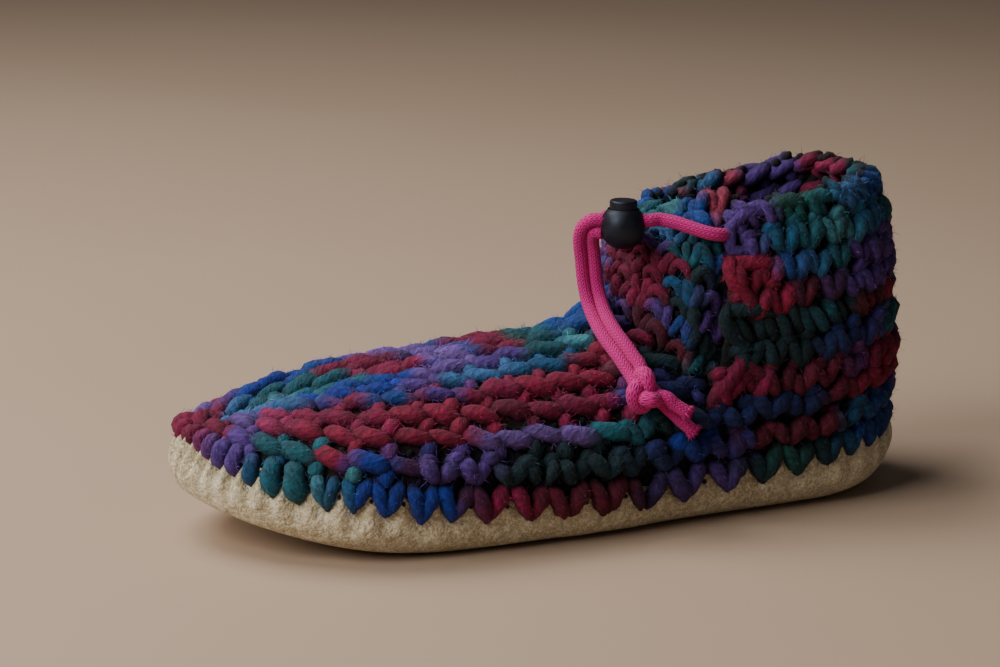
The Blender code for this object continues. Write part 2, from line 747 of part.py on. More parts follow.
def build_lock():
    # A ball with a well for the button from its top and a slot right through for the cords.
    radius, bore = LOCK_WIDTH / 2, BUTTON_WIDTH / 2 + BUTTON_FIT
    turn = np.linspace(-math.pi / 2, math.pi / 2, LOCK_RINGS + 2)[1:-1]
    ball = [(radius * math.cos(a), radius * math.sin(a)) for a in turn]
    body = turned("cord_lock_body", [(0, -radius), *ball, (0, radius)], LOCK_SIDES, BLACK, SATIN)
    floor = -BUTTON_DEPTH - BUTTON_TRAVEL - BUTTON_FIT
    well = [(0, floor), (bore, floor), (bore, LOCK_WIDTH), (0, LOCK_WIDTH)]
    well = turned("lock_well", well, BUTTON_SIDES, BLACK, SATIN)
    slot = slot_cutter(CORD + 2 * SLOT_FIT, 2 * CORD + PAIR_GAP + 2 * SLOT_FIT)
    boolean(body, well, "DIFFERENCE")
    boolean(body, slot, "DIFFERENCE")
    side = BUTTON_WIDTH / 2
    top = math.sqrt(radius**2 - bore**2) + BUTTON_HEIGHT
    button = [(0, -BUTTON_DEPTH), (side, -BUTTON_DEPTH), (side, top - BUTTON_EDGE)]
    button += [(side - BUTTON_EDGE, top), (0, top)]
    button = turned("cord_lock_button", button, BUTTON_SIDES, BLACK, SATIN)
    for item in (body, well, slot, button):
        item.location = LOCK_CENTRE
        item.rotation_euler = (0, 0, LOCK_AIM)


for old in list(bpy.data.objects):
    bpy.data.objects.remove(old)
build_sole()
build_insole()
build_upper()
build_tongue()
build_crossing()
build_strands()
build_knot()
build_lock()
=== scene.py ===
import math

import bpy
import numpy as np
from mathutils import Matrix


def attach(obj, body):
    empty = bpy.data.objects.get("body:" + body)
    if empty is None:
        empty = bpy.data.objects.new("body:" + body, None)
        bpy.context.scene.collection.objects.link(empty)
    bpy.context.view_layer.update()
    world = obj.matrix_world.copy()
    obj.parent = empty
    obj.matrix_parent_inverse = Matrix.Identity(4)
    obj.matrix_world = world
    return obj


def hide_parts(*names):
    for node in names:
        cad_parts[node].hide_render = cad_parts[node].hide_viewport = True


# Left slipper bootie: crocheted wool on a suede sole.
# Metres, toe to -Y, outer side to +X, floor at z = 0.

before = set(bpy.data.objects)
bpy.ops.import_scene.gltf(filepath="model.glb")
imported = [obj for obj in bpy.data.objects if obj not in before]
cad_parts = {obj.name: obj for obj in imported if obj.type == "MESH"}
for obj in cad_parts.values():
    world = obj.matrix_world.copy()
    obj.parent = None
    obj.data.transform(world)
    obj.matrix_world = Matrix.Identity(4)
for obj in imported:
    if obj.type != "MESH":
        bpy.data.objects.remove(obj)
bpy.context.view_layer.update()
rng = np.random.default_rng(20)
mm = 0.001
print("frame loaded")

# camera, lights and floor

view = {
    "azimuth": 66.0, "elevation": 14.0, "roll": -0.865,  # degrees
    "distance": 0.92, "target": (0.0, 0.0, 0.05),
    "lens": 100.08, "sensor": 36, "shift": (-0.0457, 0.0239),  # the lens and sensor in mm
}

studio = {
    "floor": (0.42, 0.298, 0.208), "floorPatch": (0.8, 0.7, 0.6), "patchShare": 0.1, "floorSide": 5.0,
    "air": (0.62, 0.63, 0.66), "airStrength": 0.075, "aim": (0.0, 0.0, 0.04),
    # place, width, strength and colour of each soft light
    "lights": (
        ((0.39, -1.37, 1.04), 1.0, 25.0, (1.0, 0.97, 0.93)),
        ((-0.45, -0.45, 1.05), 0.8, 14.0, (1.0, 0.97, 0.94)),
        ((1.30, 0.30, 0.60), 0.8, 0.35, (0.90, 0.95, 1.0)),
    ),
}


def addItem(name, data):
    item = bpy.data.objects.new(name, data)
    bpy.context.collection.objects.link(item)
    return item


def addCamera():
    # Stands off from its target by azimuth and elevation, and rolls about its line of sight.
    az, el, roll = (math.radians(view[key]) for key in ("azimuth", "elevation", "roll"))
    back = np.array([math.sin(az) * math.cos(el), -math.cos(az) * math.cos(el), math.sin(el)])
    right = np.array([math.cos(az), math.sin(az), 0.0])
    up = np.cross(back, right)
    right, up = math.cos(roll) * right - math.sin(roll) * up, math.sin(roll) * right + math.cos(roll) * up
    data = bpy.data.cameras.new("camera")
    data.lens, data.sensor_width = view["lens"], view["sensor"]
    data.shift_x, data.shift_y = view["shift"]
    camera = addItem("camera", data)
    place = np.array(view["target"]) + back * view["distance"]
    camera.matrix_world = Matrix.Translation(place) @ Matrix(np.column_stack([right, up, back])).to_4x4()
    bpy.context.scene.camera = camera


def addLights():
    # Square soft lights turned to the shoe, and a faint even light from all round.
    for number, (place, width, strength, colour) in enumerate(studio["lights"]):
        data = bpy.data.lights.new(f"light_{number}", "AREA")
        data.size, data.energy, data.color = width, strength, colour
        light = addItem(f"light_{number}", data)
        away = np.array(place) - studio["aim"]
        light.location = place
        light.rotation_euler = (
            math.acos(away[2] / np.linalg.norm(away)), 0, math.atan2(away[1], away[0]) + math.pi / 2)
    world = bpy.data.worlds.new("world")
    world.use_nodes = True
    background = world.node_tree.nodes["Background"]
    background.inputs[0].default_value = (*studio["air"], 1)
    background.inputs[1].default_value = studio["airStrength"]
    bpy.context.scene.world = world


addCamera()
addLights()
print("camera and lights")

# shader maths


class Wire:
    # A shader socket. Sums, products and powers of it add Math nodes.
    def __init__(self, tree, socket=None):
        self.tree, self.socket = tree, socket

    def node(self, kind, settings=None, inputs=None, output=0):
        # Any node: its type, its settings, then the values or links of its sockets.
        made = self.tree.nodes.new(kind)
        for name, value in (settings or {}).items():
            setattr(made, name, value)
        for name, value in (inputs or {}).items():
            if isinstance(value, Wire):
                self.tree.links.new(value.socket, made.inputs[name])
            else:
                made.inputs[name].default_value = value
        return Wire(self.tree, made.outputs[output])

    def maths(self, operation, *others):
        return self.node("ShaderNodeMath", {"operation": operation}, dict(enumerate((self, *others))))

    def __add__(self, other):
        return self.maths("ADD", other)

    def __sub__(self, other):
        return self.maths("SUBTRACT", other)

    def __rsub__(self, other):
        return self.node("ShaderNodeMath", {"operation": "SUBTRACT"}, {0: other, 1: self})

    def __mul__(self, other):
        return self.maths("MULTIPLY", other)

    def __pow__(self, other):
        return self.maths("POWER", other)

    def step(self, low, high):
        # 0 below low, 1 above high, soft between.
        return self.node("ShaderNodeMapRange", {"interpolation_type": "SMOOTHSTEP"},
                         {"Value": self, "From Min": low, "From Max": high})

    def mix(self, first, second):
        # This socket mixes two colours: 0 gives the first, 1 the second.
        first, second = (c if isinstance(c, Wire) else (*c, 1) for c in (first, second))
        return self.node("ShaderNodeMix", {"data_type": "RGBA"}, {0: self, 6: first, 7: second}, 2)

    def times(self, *scale):
        # A colour with each of its parts multiplied, by one number or by three.
        scale = scale if len(scale) == 3 else scale * 3
        return self.node("ShaderNodeVectorMath", {"operation": "MULTIPLY"}, {0: self, 1: scale})

    def plus(self, colour):
        return self.node("ShaderNodeVectorMath", {"operation": "ADD"}, {0: self, 1: colour})

    def part(self, axis):
        # One number of a vector: 0 for x or u, 1 for y or v, 2 for z.
        return self.node("ShaderNodeSeparateXYZ", None, {0: self}, axis)

    def noise(self, scale, detail=3.0, rough=0.55):
        # Noise at this place, with features of about 1 / scale.
        return self.node("ShaderNodeTexNoise", None,
                         {"Vector": self, "Scale": scale, "Detail": detail, "Roughness": rough})

    def cells(self, scale):
        # The distance to the nearest of many scattered points.
        return self.node("ShaderNodeTexVoronoi", None, {"Vector": self, "Scale": scale})

    def place(self):
        # The object's own coordinates.
        return self.node("ShaderNodeTexCoord", output=3)

    def uv(self, name):
        return self.node("ShaderNodeUVMap", {"uv_map": name})

    def attribute(self, name):
        return self.node("ShaderNodeAttribute", {"attribute_name": name})


def newMaterial(name, **values):
    # Returns a material, a wire in its tree and its shader. Fixed values go straight to the shader's sockets.
    material = bpy.data.materials.new(name)
    material.use_nodes = True
    shader = material.node_tree.nodes["Principled BSDF"]
    for key, value in values.items():
        socket = shader.inputs[key.replace("_", " ")]
        socket.default_value = (*value, 1) if isinstance(value, tuple) else value
    return material, Wire(material.node_tree), shader


def feed(shader, **wires):
    # Links each wire to the shader's socket of that name.
    for key, wire in wires.items():
        wire.tree.links.new(wire.socket, shader.inputs[key.replace("_", " ")])


def bumped(height, strength, distance, under=None):
    # A bump, over another one where that is given.
    inputs = {"Height": height, "Strength": strength, "Distance": distance}
    if under:
        inputs["Normal"] = under
    return height.node("ShaderNodeBump", None, inputs)


# mesh making


def unit(vectors):
    return vectors / np.maximum(np.linalg.norm(vectors, axis=-1, keepdims=True), 1e-12)


def newMesh(name, points, quads=(), triangles=(), layers=None, shadedDye=None):
    # A smooth mesh from whole arrays. layers: UV maps, one (u, v) for each face corner, quads first.
    points = np.asarray(points, np.float32).reshape(-1, 3)
    quads, triangles = np.asarray(quads, int).reshape(-1, 4), np.asarray(triangles, int).reshape(-1, 3)
    corners = np.concatenate([quads.reshape(-1), triangles.reshape(-1)])
    starts = np.concatenate([np.arange(len(quads)) * 4, quads.size + np.arange(len(triangles)) * 3])
    mesh = bpy.data.meshes.new(name)
    mesh.vertices.add(len(points))
    mesh.vertices.foreach_set("co", points.reshape(-1))
    mesh.loops.add(len(corners))
    mesh.loops.foreach_set("vertex_index", corners.astype(np.int32))
    mesh.polygons.add(len(starts))
    mesh.polygons.foreach_set("loop_start", starts.astype(np.int32))
    mesh.update(calc_edges=True)
    for layer, values in (layers or {}).items():
        mesh.uv_layers.new(name=layer).data.foreach_set("uv", np.asarray(values, np.float32).reshape(-1))
    if shadedDye is not None:
        shade = np.column_stack([shadedDye.reshape(-1, 3), np.ones(shadedDye.size // 3)]).astype(np.float32)
        mesh.color_attributes.new("shadedDye", "FLOAT_COLOR", "POINT").data.foreach_set("color", shade.reshape(-1))
    mesh.shade_smooth()
    return mesh


def addPiece(mesh, material, slot, *replaced, body="slipper"):
    # Puts a mesh in the scene in place of its nodes.
    item = addItem(mesh.name, mesh)
    mesh.materials.append(material)
    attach(item, body)
    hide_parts(*replaced)
    return item


def ringQuads(number):
    # The quads between closed rings of points that are numbered [ring, place].
    right = np.roll(number, -1, axis=-1)
    corners = [number[..., :-1, :], right[..., :-1, :], right[..., 1:, :], number[..., 1:, :]]
    return np.stack(corners, -1).reshape(-1, 4)


def tubes(paths, outward, radii, sides, twist=0.0, lobes=0.0):
    # Rings of circles about each path: centre + radius (cos a * out + sin a * side), a from pi to 3 pi,
    # so that the seam is underneath. A point closes each end.
    # lobes makes two soft plies: radius (1 + lobes cos(2 a - twist s)).
    # paths, outward: [tube, ring, 3]. radii: [tube, ring]. Returns points, quads, triangles, uv and circles.
    tube, rings = radii.shape
    along = unit(np.gradient(paths, axis=1))
    side = unit(np.cross(along, outward))
    out = np.cross(side, along)
    steps = np.linalg.norm(np.diff(paths, axis=1), axis=2)
    run = np.concatenate([np.zeros((tube, 1)), np.cumsum(steps, axis=1)], 1)
    k = np.arange(sides)
    turn = math.pi + k * 2 * math.pi / sides
    wave = 1 + lobes * np.cos(2 * turn - twist * run[..., None])
    circle = np.cos(turn)[:, None] * out[:, :, None] + np.sin(turn)[:, None] * side[:, :, None]
    skin = paths[:, :, None] + (radii[..., None] * wave)[..., None] * circle
    points = np.concatenate([skin.reshape(-1, 3), paths[:, 0], paths[:, -1]])
    number = np.arange(tube * rings * sides).reshape(tube, rings, sides)
    right = np.roll(number, -1, axis=-1)
    first = number.size + np.arange(tube)[:, None] + 0 * k
    triangles = np.concatenate([
        np.stack([first, right[:, 0], number[:, 0]], -1).reshape(-1, 3),
        np.stack([first + tube, number[:, -1], right[:, -1]], -1).reshape(-1, 3),
    ])
    low, high = (run / mm)[:, :-1, None] + 0 * k, (run / mm)[:, 1:, None] + 0 * k
    near, far = k / sides + 0 * low, (k + 1) / sides + 0 * low
    flat = np.stack([low, near, low, far, high, far, high, near], -1)
    uv = np.concatenate([flat.reshape(-1, 2), np.zeros((3 * len(triangles), 2))])
    return points, ringQuads(number), triangles, uv, circle


def spikes(start, lean, length, thin, curl):
    # Bent three-sided spikes: a ring of three points at the base, one at the bend, and a tip.
    bend = start + lean * length * 0.5
    tipped = bend + unit(lean + rng.normal(0, curl, lean.shape)) * length * 0.5
    one = unit(np.cross(lean, unit(rng.normal(0, 1, lean.shape))))
    two = np.cross(lean, one)
    turn = np.arange(3) * 2 * math.pi / 3
    ringed = (np.cos(turn)[:, None] * one[:, None] + np.sin(turn)[:, None] * two[:, None]) * thin
    points = np.concatenate([start[:, None] + ringed, bend[:, None] + ringed * 0.7, tipped[:, None]], 1)
    face = [(2, 1, 0)]
    for k, n in ((0, 1), (1, 2), (2, 0)):
        face += [(k, n, 3 + n), (k, 3 + n, 3 + k), (3 + k, 3 + n, 6)]
    return points, np.array(face) + 7 * np.arange(len(start))[:, None, None]


# cord, its knot and its lock

cord = {
    "width": 4.2 * mm, "full": 0.11 * mm, "facing": (0.913, -0.407, 0.0), "sides": 20, "spacing": 0.7 * mm,
    "colour": (0.64, 0.0085, 0.230), "pale": (0.72, 0.028, 0.280), "shade": (0.20, 0.004, 0.062),
    "ribs": 9, "stitch": 1.25, "slant": 0.9,  # columns of the knitted tube, mm to a stitch, lean of its Vs
    "guides": 4 * mm, "fray": 260, "frayLong": (1.6 * mm, 3.4 * mm), "frayThin": 0.20 * mm, "fraySplay": 0.55,
    "outerRun": (
        (0.0209, 0.0233, 0.0985), (0.0221, 0.0260, 0.0985), (0.0222, 0.0299, 0.0986),
        (0.0252, 0.0345, 0.0978), (0.0286, 0.0388, 0.0963), (0.0314, 0.0434, 0.0949),
        (0.0318, 0.0468, 0.0943), (0.0304, 0.0501, 0.0937),
    ),
    "innerRun": (
        (0.0166, 0.0236, 0.0968), (0.0167, 0.0250, 0.0966), (0.0160, 0.0262, 0.0962),
        (0.0142, 0.0264, 0.0957), (0.0120, 0.0256, 0.0950), (0.0090, 0.0245, 0.0944),
        (0.0050, 0.0239, 0.0941), (0.0000, 0.0243, 0.0941), (-0.0055, 0.0241, 0.0942),
        (-0.0112, 0.0266, 0.0935), (-0.0164, 0.0287, 0.0925), (-0.0218, 0.0333, 0.0914),
        (-0.0270, 0.0364, 0.0908), (-0.0306, 0.0410, 0.0905), (-0.0316, 0.0462, 0.0900),
        (-0.0292, 0.0505, 0.0890), (-0.0270, 0.0535, 0.0870),
    ),
    "pairLine": (
        (0.0162, 0.0124, 0.0965), (0.0156, 0.0110, 0.0965), (0.0149, 0.0094, 0.0964), (0.0134, 0.0086, 0.0952),
        (0.0108, 0.0089, 0.0911), (0.0093, 0.0103, 0.0851), (0.0090, 0.0114, 0.0772),
        (0.0107, 0.0121, 0.0713), (0.0156, 0.0120, 0.0668), (0.0236, 0.0121, 0.0622),
        (0.0312, 0.0134, 0.0578), (0.0375, 0.0149, 0.0530),
    ),
    "tails": (
        ((0.0476, 0.0209, 0.0462), (0.0486, 0.0236, 0.0439), (0.0503, 0.0271, 0.0414)),
        ((0.0437, 0.0209, 0.0439), (0.0446, 0.0242, 0.0408), (0.0459, 0.0277, 0.0373), (0.0470, 0.0310, 0.0342)),
    ),
    "knotCentre": (0.0436, 0.0152, 0.0476), "knotSize": (0.0120, 0.0110, 0.0165), "knotAim": (0.53, -0.08, -0.84),
    "knotThick": 0.62, "knotRings": 141,
}


def lengths(line):
    # The distance along a line at each of its points.
    return np.concatenate([[0], np.cumsum(np.linalg.norm(np.diff(line, axis=0), axis=1))])


def spread(line, measure, at):
    # The line's points where its measure has these values.
    return np.column_stack([np.interp(at, measure, line[:, k]) for k in range(line.shape[1])])


def evenly(line, spacing):
    measure = lengths(line)
    return spread(line, measure, np.linspace(0, measure[-1], round(measure[-1] / spacing) + 1))


def route(points, spacing):
    # A cubic through these points, read at an even spacing.
    points = np.array(points)
    ends = np.vstack([2 * points[0] - points[1], points, 2 * points[-1] - points[-2]])
    t = np.linspace(0, 1, 61)[:-1, None]
    parts = []
    for a, b, c, d in zip(ends, ends[1:], ends[2:], ends[3:]):
        cubic = (2 * a - 5 * b + 4 * c - d) * t**2 + (3 * b - a - 3 * c + d) * t**3
        parts.append(b + ((c - a) * t + cubic) / 2)
    return evenly(np.vstack([*parts, points[-1:]]), spacing)


def cordMaterial():
    # Knitted cotton: columns of small Vs along the cord, from the UV map "run" (mm along, turns round). The
    # raised stitch tops are paler as a painted highlight, and the grooves between them darker as painted shade.
    material, wire, shader = newMaterial("cotton_cord", Roughness=0.88, Sheen_Weight=0.06, Sheen_Roughness=0.5)
    run = wire.uv("run")
    fold = (run.part(1) * cord["ribs"]).maths("PINGPONG", 0.5) * 2
    phase = (run.part(0) * (1 / cord["stitch"]) + fold * cord["slant"]) * (2 * math.pi)
    rib = 1 - (fold * 2 - 1).maths("ABSOLUTE")
    height = (phase.maths("SINE") * 0.5 + 0.5) * 0.7 + rib * 0.5
    soft = wire.place().noise(900.0, 3.0)
    # painted highlight: the raised tops of the stitches turn pale
    raisedHighlight = (height + soft * 0.6 - 0.3).step(0.75, 1.25)
    # painted shade: the low grooves between the stitches turn dark
    grooveShade = 1 - (height + soft * 0.4 - 0.2).step(0.1, 0.6)
    colour = (grooveShade * 0.75).mix(raisedHighlight.mix(cord["colour"], cord["pale"]), cord["shade"])
    feed(shader, Base_Color=colour, Normal=bumped(height + soft * 0.5, 0.9, 0.35 * mm))
    return material


cotton = cordMaterial()


def cordTube(name, line):
    # A round tube of one width along the line.
    radii = np.full((1, len(line)), cord["width"] / 2 + cord["full"])
    out = np.broadcast_to(cord["facing"], line.shape)
    points, quads, triangles, uv, _ = tubes(line[None], out[None], radii, cord["sides"])
    return newMesh(name, points, quads, triangles, {"run": uv})


def addCords():
    # Two cords side by side in the picture's plane, half a width to each side of the pair's line,
    # on through the knot to their own tails. Then the two runs round the ankle.
    line = route(cord["pairLine"], cord["width"] / 4)
    side = np.cross(cord["facing"], np.gradient(line, axis=0))
    side *= cord["width"] / 2 / np.linalg.norm(side, axis=1)[:, None]
    knots = (addKnot(),)
    for number, (shift, tail) in enumerate(zip((-side, side), cord["tails"]), 1):
        middle = np.array([cord["knotCentre"]]) + 0.3 * shift[-1]
        path = route(np.vstack([evenly(line + shift, cord["guides"]), middle, tail]), cord["spacing"])
        piece = addPiece(cordTube(f"drawcord_end_{number}", path), cotton, "cord",
                         f"drawcord_strand_{number}", f"drawcord_tail_{number}")
        addFray(number, path)
        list(knots if number == 1 else ())
        print(f"cord end {number}: {lengths(path)[-1] / mm:.0f} mm")
    for name in ("outer", "inner"):
        run = route(cord[f"{name}Run"], cord["spacing"])
        addPiece(cordTube(f"drawcord_run_{name}", run), cotton, "cord", "drawcord_crossing")


def addFray(number, path):
    # The cord's cut end: soft fibres that splay out and back from its last disc.
    many = cord["fray"]
    aim = unit(path[-1] - path[-3])
    one = unit(np.cross(aim, cord["facing"]))
    turn, away = rng.uniform(0, 2 * math.pi, (many, 1)), np.sqrt(rng.uniform(0, 1, (many, 1)))
    aside = (np.cos(turn) * one + np.sin(turn) * np.cross(aim, one)) * away
    start = path[-1] - aim * 0.6 * mm + aside * cord["width"] * 0.46
    lean = unit(aim + aside * cord["fraySplay"] + rng.normal(0, 0.22, (many, 3)))
    points, triangles = spikes(start, lean, rng.uniform(*cord["frayLong"], (many, 1)), cord["frayThin"], 0.5)
    run = rng.uniform(0, 9, (many, 1, 2)).repeat(30, 1)
    mesh = newMesh(f"cord_fray_{number}", points, (), triangles, {"run": run})
    return addPiece(mesh, cotton, "cord", f"drawcord_tail_{number}")


def addKnot():
    # Two turns of cord drawn tight: a trefoil (sin t + 2 sin 2t, cos t - 2 cos 2t, -sin 3t) pressed into an egg.
    t = np.linspace(0, 2 * math.pi, cord["knotRings"])
    thick = cord["width"] * cord["knotThick"]
    room = np.array(cord["knotSize"]) / 2 - thick
    shape = np.column_stack([
        (np.sin(t) + 2 * np.sin(2 * t)) / 2.7, -np.sin(3 * t), (np.cos(t) - 2 * np.cos(2 * t)) / 3])
    aim = unit(np.array(cord["knotAim"]))
    across = unit(np.cross(cord["facing"], aim))
    out = shape * room @ np.array([across, np.cross(aim, across), aim])
    line = out + cord["knotCentre"]
    points, quads, triangles, uv, _ = tubes(line[None], out[None], np.full((1, len(t)), thick), cord["sides"])
    mesh = newMesh("drawcord_knot_turns", points, quads, triangles, {"run": uv})
    return addPiece(mesh, cotton, "cord", "drawcord_knot")


addCords()

lock = {
    "centre": (0.0188, 0.0183, 0.0965), "width": 14.6 * mm, "button": 9.0 * mm, "fit": 0.4 * mm,
    "top": 8.71 * mm, "buttonFoot": -1.0 * mm, "wellFoot": -4.0 * mm, "sides": 64, "rings": 40,
    "barrel": 0.8, "lip": 0.5 * mm, "edge": 0.4 * mm,  # barrel: 1 is a ball, less is fuller
    "colour": (0.006, 0.006, 0.010), "wearAndShade": (0.020, 0.021, 0.031), "roughness": (0.42, 0.56),
    "tint": (0.66, 0.78, 1.0),
}


def turned(name, profile):
    # A profile of (radius, height) turned about the lock's upright axis, its first and last points on the axis.
    profile = np.array(profile)
    turn = np.arange(lock["sides"]) * 2 * math.pi / lock["sides"]
    radius, height = profile[1:-1, :1], profile[1:-1, 1:] + 0 * turn
    rings = np.stack([radius * np.cos(turn), radius * np.sin(turn), height], -1)
    number = np.arange(height.size).reshape(height.shape)
    right = np.roll(number, -1, axis=1)
    pole = 0 * number[0] + number.size
    triangles = np.concatenate([
        np.stack([pole, right[0], number[0]], -1), np.stack([pole + 1, number[-1], right[-1]], -1)])
    poles = np.array([(0, 0, profile[0, 1]), (0, 0, profile[-1, 1])])
    points = np.concatenate([rings.reshape(-1, 3), poles]) + lock["centre"]
    return newMesh(name, points, ringQuads(number), triangles)


def bevelled(points, size):
    # Each inner corner of a profile becomes a short curve.
    found = [points[0]]
    for before, here, after in zip(points, points[1:], points[2:]):
        before, here, after = (np.array(point) for point in (before, here, after))
        one, two = here + unit(before - here) * size, here + unit(after - here) * size
        found += [tuple((1 - t) ** 2 * one + 2 * t * (1 - t) * here + t**2 * two) for t in (0, 0.3, 0.7, 1)]
    return found + [points[-1]]


def lockMaterial():
    # Satin black plastic with a fine moulded grain and faint rubbing.
    material, wire, shader = newMaterial("satin_plastic", Specular_IOR_Level=0.42, Specular_Tint=lock["tint"])
    cloud = wire.place().noise(260.0, 3.0).step(0.35, 0.75)
    low, high = lock["roughness"]
    feed(shader, Base_Color=(cloud * 0.35).mix(lock["colour"], lock["wearAndShade"]),
         Roughness=cloud * (high - low) + low,
         Normal=bumped(wire.place().noise(5200.0, 2.0), 0.12, 0.05 * mm))
    return material


def addLock():
    # A ball (radius cos a ^ barrel, height sin a) with a well for its button, and the button in it.
    satin = lockMaterial()
    ball, bore = lock["width"] / 2, lock["button"] / 2 + lock["fit"]
    edge = math.acos((bore / ball) ** (1 / lock["barrel"]))
    turn = np.linspace(-math.pi / 2, edge, lock["rings"])[1:-1]
    rim = ball * math.sin(edge) + 0.1 * mm
    body = [(0, -ball), *zip(ball * np.cos(turn) ** lock["barrel"], ball * np.sin(turn)), (bore * 1.04, rim)]
    body += [(bore, rim - lock["lip"])]
    body += bevelled([(bore, 0.0), (bore, lock["wellFoot"]), (0, lock["wellFoot"])], 0.3 * mm)[1:]
    addPiece(turned("lock_ball", body), satin, "lock", "cord_lock_body")
    side, top, foot, edge = lock["button"] / 2, lock["top"], lock["buttonFoot"], lock["edge"]
    button = [(0, foot), (side, foot), (side, top - edge), (side - edge, top), (0, top + 0.05 * mm)]
    addPiece(turned("lock_button", bevelled(button, edge / 2)), satin, "lock", "cord_lock_button", body="button")


addLock()
print("cord and lock")

# the shoe's form, as in its model

shoe = {
    "length": 0.255, "ballWidth": 0.098, "toeTurn": 5 * mm, "toeSpring": 13 * mm, "toeLifts": 0.33,
    "heelRise": 5 * mm, "heelLifts": 0.82, "suede": 2.8 * mm, "sideInset": 11 * mm, "sideHeight": 9.5 * mm,
    "sideBend": 0.3, "rimLean": 8 * mm, "rimLap": 0.55, "pucker": 1.0 * mm, "rimPucker": 0.4,
    "stitchPitch": 13.6 * mm, "seamHeight": 34 * mm, "skirt": 3.6 * mm,
    "insole": 6 * mm, "insoleTurn": 5.5 * mm,
    "wall": 6.5 * mm, "cornerY": 44 * mm, "apexY": -86 * mm, "throatY": 20 * mm, "vampHeight": 60 * mm,
    "vampPower": 2.25, "borderSweep": 2.0, "ridgeCrowd": 0.45, "ridgeTurn": 0.4,
    "collarHeight": 110 * mm, "collarDrop": 11 * mm, "collarFront": 36 * mm, "collarBack": 116.5 * mm,
    "collarWidth": 66 * mm, "collarPower": 2.3, "ankleSweep": 3.0, "quarterY": 52 * mm,
    "tongueWall": 5.5 * mm, "tongueBulge": 6.5 * mm, "tongueCrown": 1.25, "tongueTurnIn": 12 * mm,
    "tuckFit": 2 * mm, "rounds": 3, "vampRows": 5, "ankleRows": 7, "cornerBlend": 5, "innerDip": 4.5 * mm,
    "outlineAlong": (0.00, 0.20, 0.30, 0.38, 0.48, 0.58, 0.68, 0.78, 0.88, 1.00),
    "outlineOuter": (0.405, 0.480, 0.500, 0.500, 0.485, 0.462, 0.440, 0.422, 0.400, 0.380),
    "outlineInner": (0.410, 0.482, 0.500, 0.488, 0.435, 0.380, 0.352, 0.354, 0.372, 0.376),
    "toeRound": (0.25, 2.25), "heelRound": (0.15, 2.1),
    "leans": ((0.00, 0.20, 0.85, 1.00), (1.00, 0.28, 0.28, 0.62)),
    "puckers": ((0.10, 0.40, 0.75, 0.95), (1.00, 0.45, 0.45, 1.00)),
    "seam": (
        (0.00, 0.04, 0.10, 0.20, 0.30, 0.42, 0.60, 0.72, 0.82, 0.90, 1.00),
        (1.00, 0.81, 0.66, 0.53, 0.43, 0.335, 0.325, 0.37, 0.455, 0.57, 0.64),
    ),
    "gather": (
        (0.00, 0.02, 0.10, 0.25, 0.42, 0.74, 0.87, 1.00),
        (0.40, 0.42, 0.64, 0.77, 1.00, 1.00, 0.74, 0.62),
    ),
    "ridge": ((0.10, 0.178, 0.276, 0.343, 0.437, 0.52, 0.578), (0.60, 0.70, 0.83, 0.885, 0.945, 1.00, 1.12)),
}


def smooth(table, along):
    # A cubic through the table's places and values.
    x, y = (np.array(line) for line in table)
    slope = np.gradient(y, x)
    along = np.clip(along, x[0], x[-1])
    i = np.clip(np.searchsorted(x, along) - 1, 0, len(x) - 2)
    step = x[i + 1] - x[i]
    t = (along - x[i]) / step
    start = y[i] * (1 + 2 * t) + slope[i] * step * t
    end = y[i + 1] * (3 - 2 * t) - slope[i + 1] * step * (1 - t)
    return start * (1 - t) ** 2 + end * t**2


def ramp(value, low, high):
    # 0 up to low, 1 from high, soft between.
    t = np.clip((value - low) / (high - low), 0, 1)
    return t * t * (3 - 2 * t)


def eased(table, along):
    # Soft steps between the table's values.
    x, y = table
    return y[0] + sum((b - a) * ramp(along, low, high) for a, b, low, high in zip(y, y[1:], x, x[1:]))


def rounded(share, power):
    # The quarter of a superellipse that rises from 0 to 1.
    return (1 - (1 - np.clip(share, 0, 1)) ** power) ** (1 / power)


def outlineSide(side):
    # Half of the sole's outline, toe to heel: half width times a superellipse at either end.
    along = (1 - np.cos(np.linspace(0, math.pi, 721))) / 2
    table = (shoe["outlineAlong"], shoe["outlineOuter"] if side > 0 else shoe["outlineInner"])
    toe, heel = shoe["toeRound"], shoe["heelRound"]
    ends = rounded(along / toe[0], toe[1]) * rounded((1 - along) / heel[0], heel[1])
    x = side * smooth(table, along) * shoe["ballWidth"] * ends
    x = x - shoe["toeTurn"] * np.clip(1 - along / toe[0], 0, 1) ** 2
    return np.column_stack([x, (along - 0.5) * shoe["length"]])


def planOutline():
    # Two points for each stitch, round the outer side and back along the inner one.
    sides, count = [], 0
    for line in (outlineSide(1), outlineSide(-1)):
        along = line[:, 1] / shoe["length"] + 0.5
        pitch = shoe["stitchPitch"] * smooth(shoe["gather"], (along[1:] + along[:-1]) / 2)
        measure = np.concatenate([[0], np.cumsum(np.diff(lengths(line)) / pitch)])
        count = count or 2 * round(measure[-1]) + 1
        sides.append(spread(line, measure, np.linspace(0, measure[-1], count)))
    return np.vstack([sides[0], sides[1][-2:0:-1]])


plan = planOutline()
count = len(plan)
along = plan[:, 1] / shoe["length"] + 0.5
odd = np.arange(count) % 2
tangent = np.roll(plan, -1, axis=0) - np.roll(plan, 1, axis=0)
outOf = unit(np.column_stack([tangent[:, 1], -tangent[:, 0]]))
base = shoe["toeSpring"] * np.clip(1 - along / shoe["toeLifts"], 0, 1) ** 2
base += shoe["heelRise"] * np.clip((along - shoe["heelLifts"]) / (1 - shoe["heelLifts"]), 0, 1) ** 2
tip = shoe["seamHeight"] * smooth(shoe["seam"], along)
lean = shoe["rimLean"] * eased(shoe["leans"], along)
stepFrom = np.minimum(np.arange(count), count - np.arange(count))
corner = int(np.argmin(np.abs(plan[: count // 2, 1] - shoe["cornerY"])))


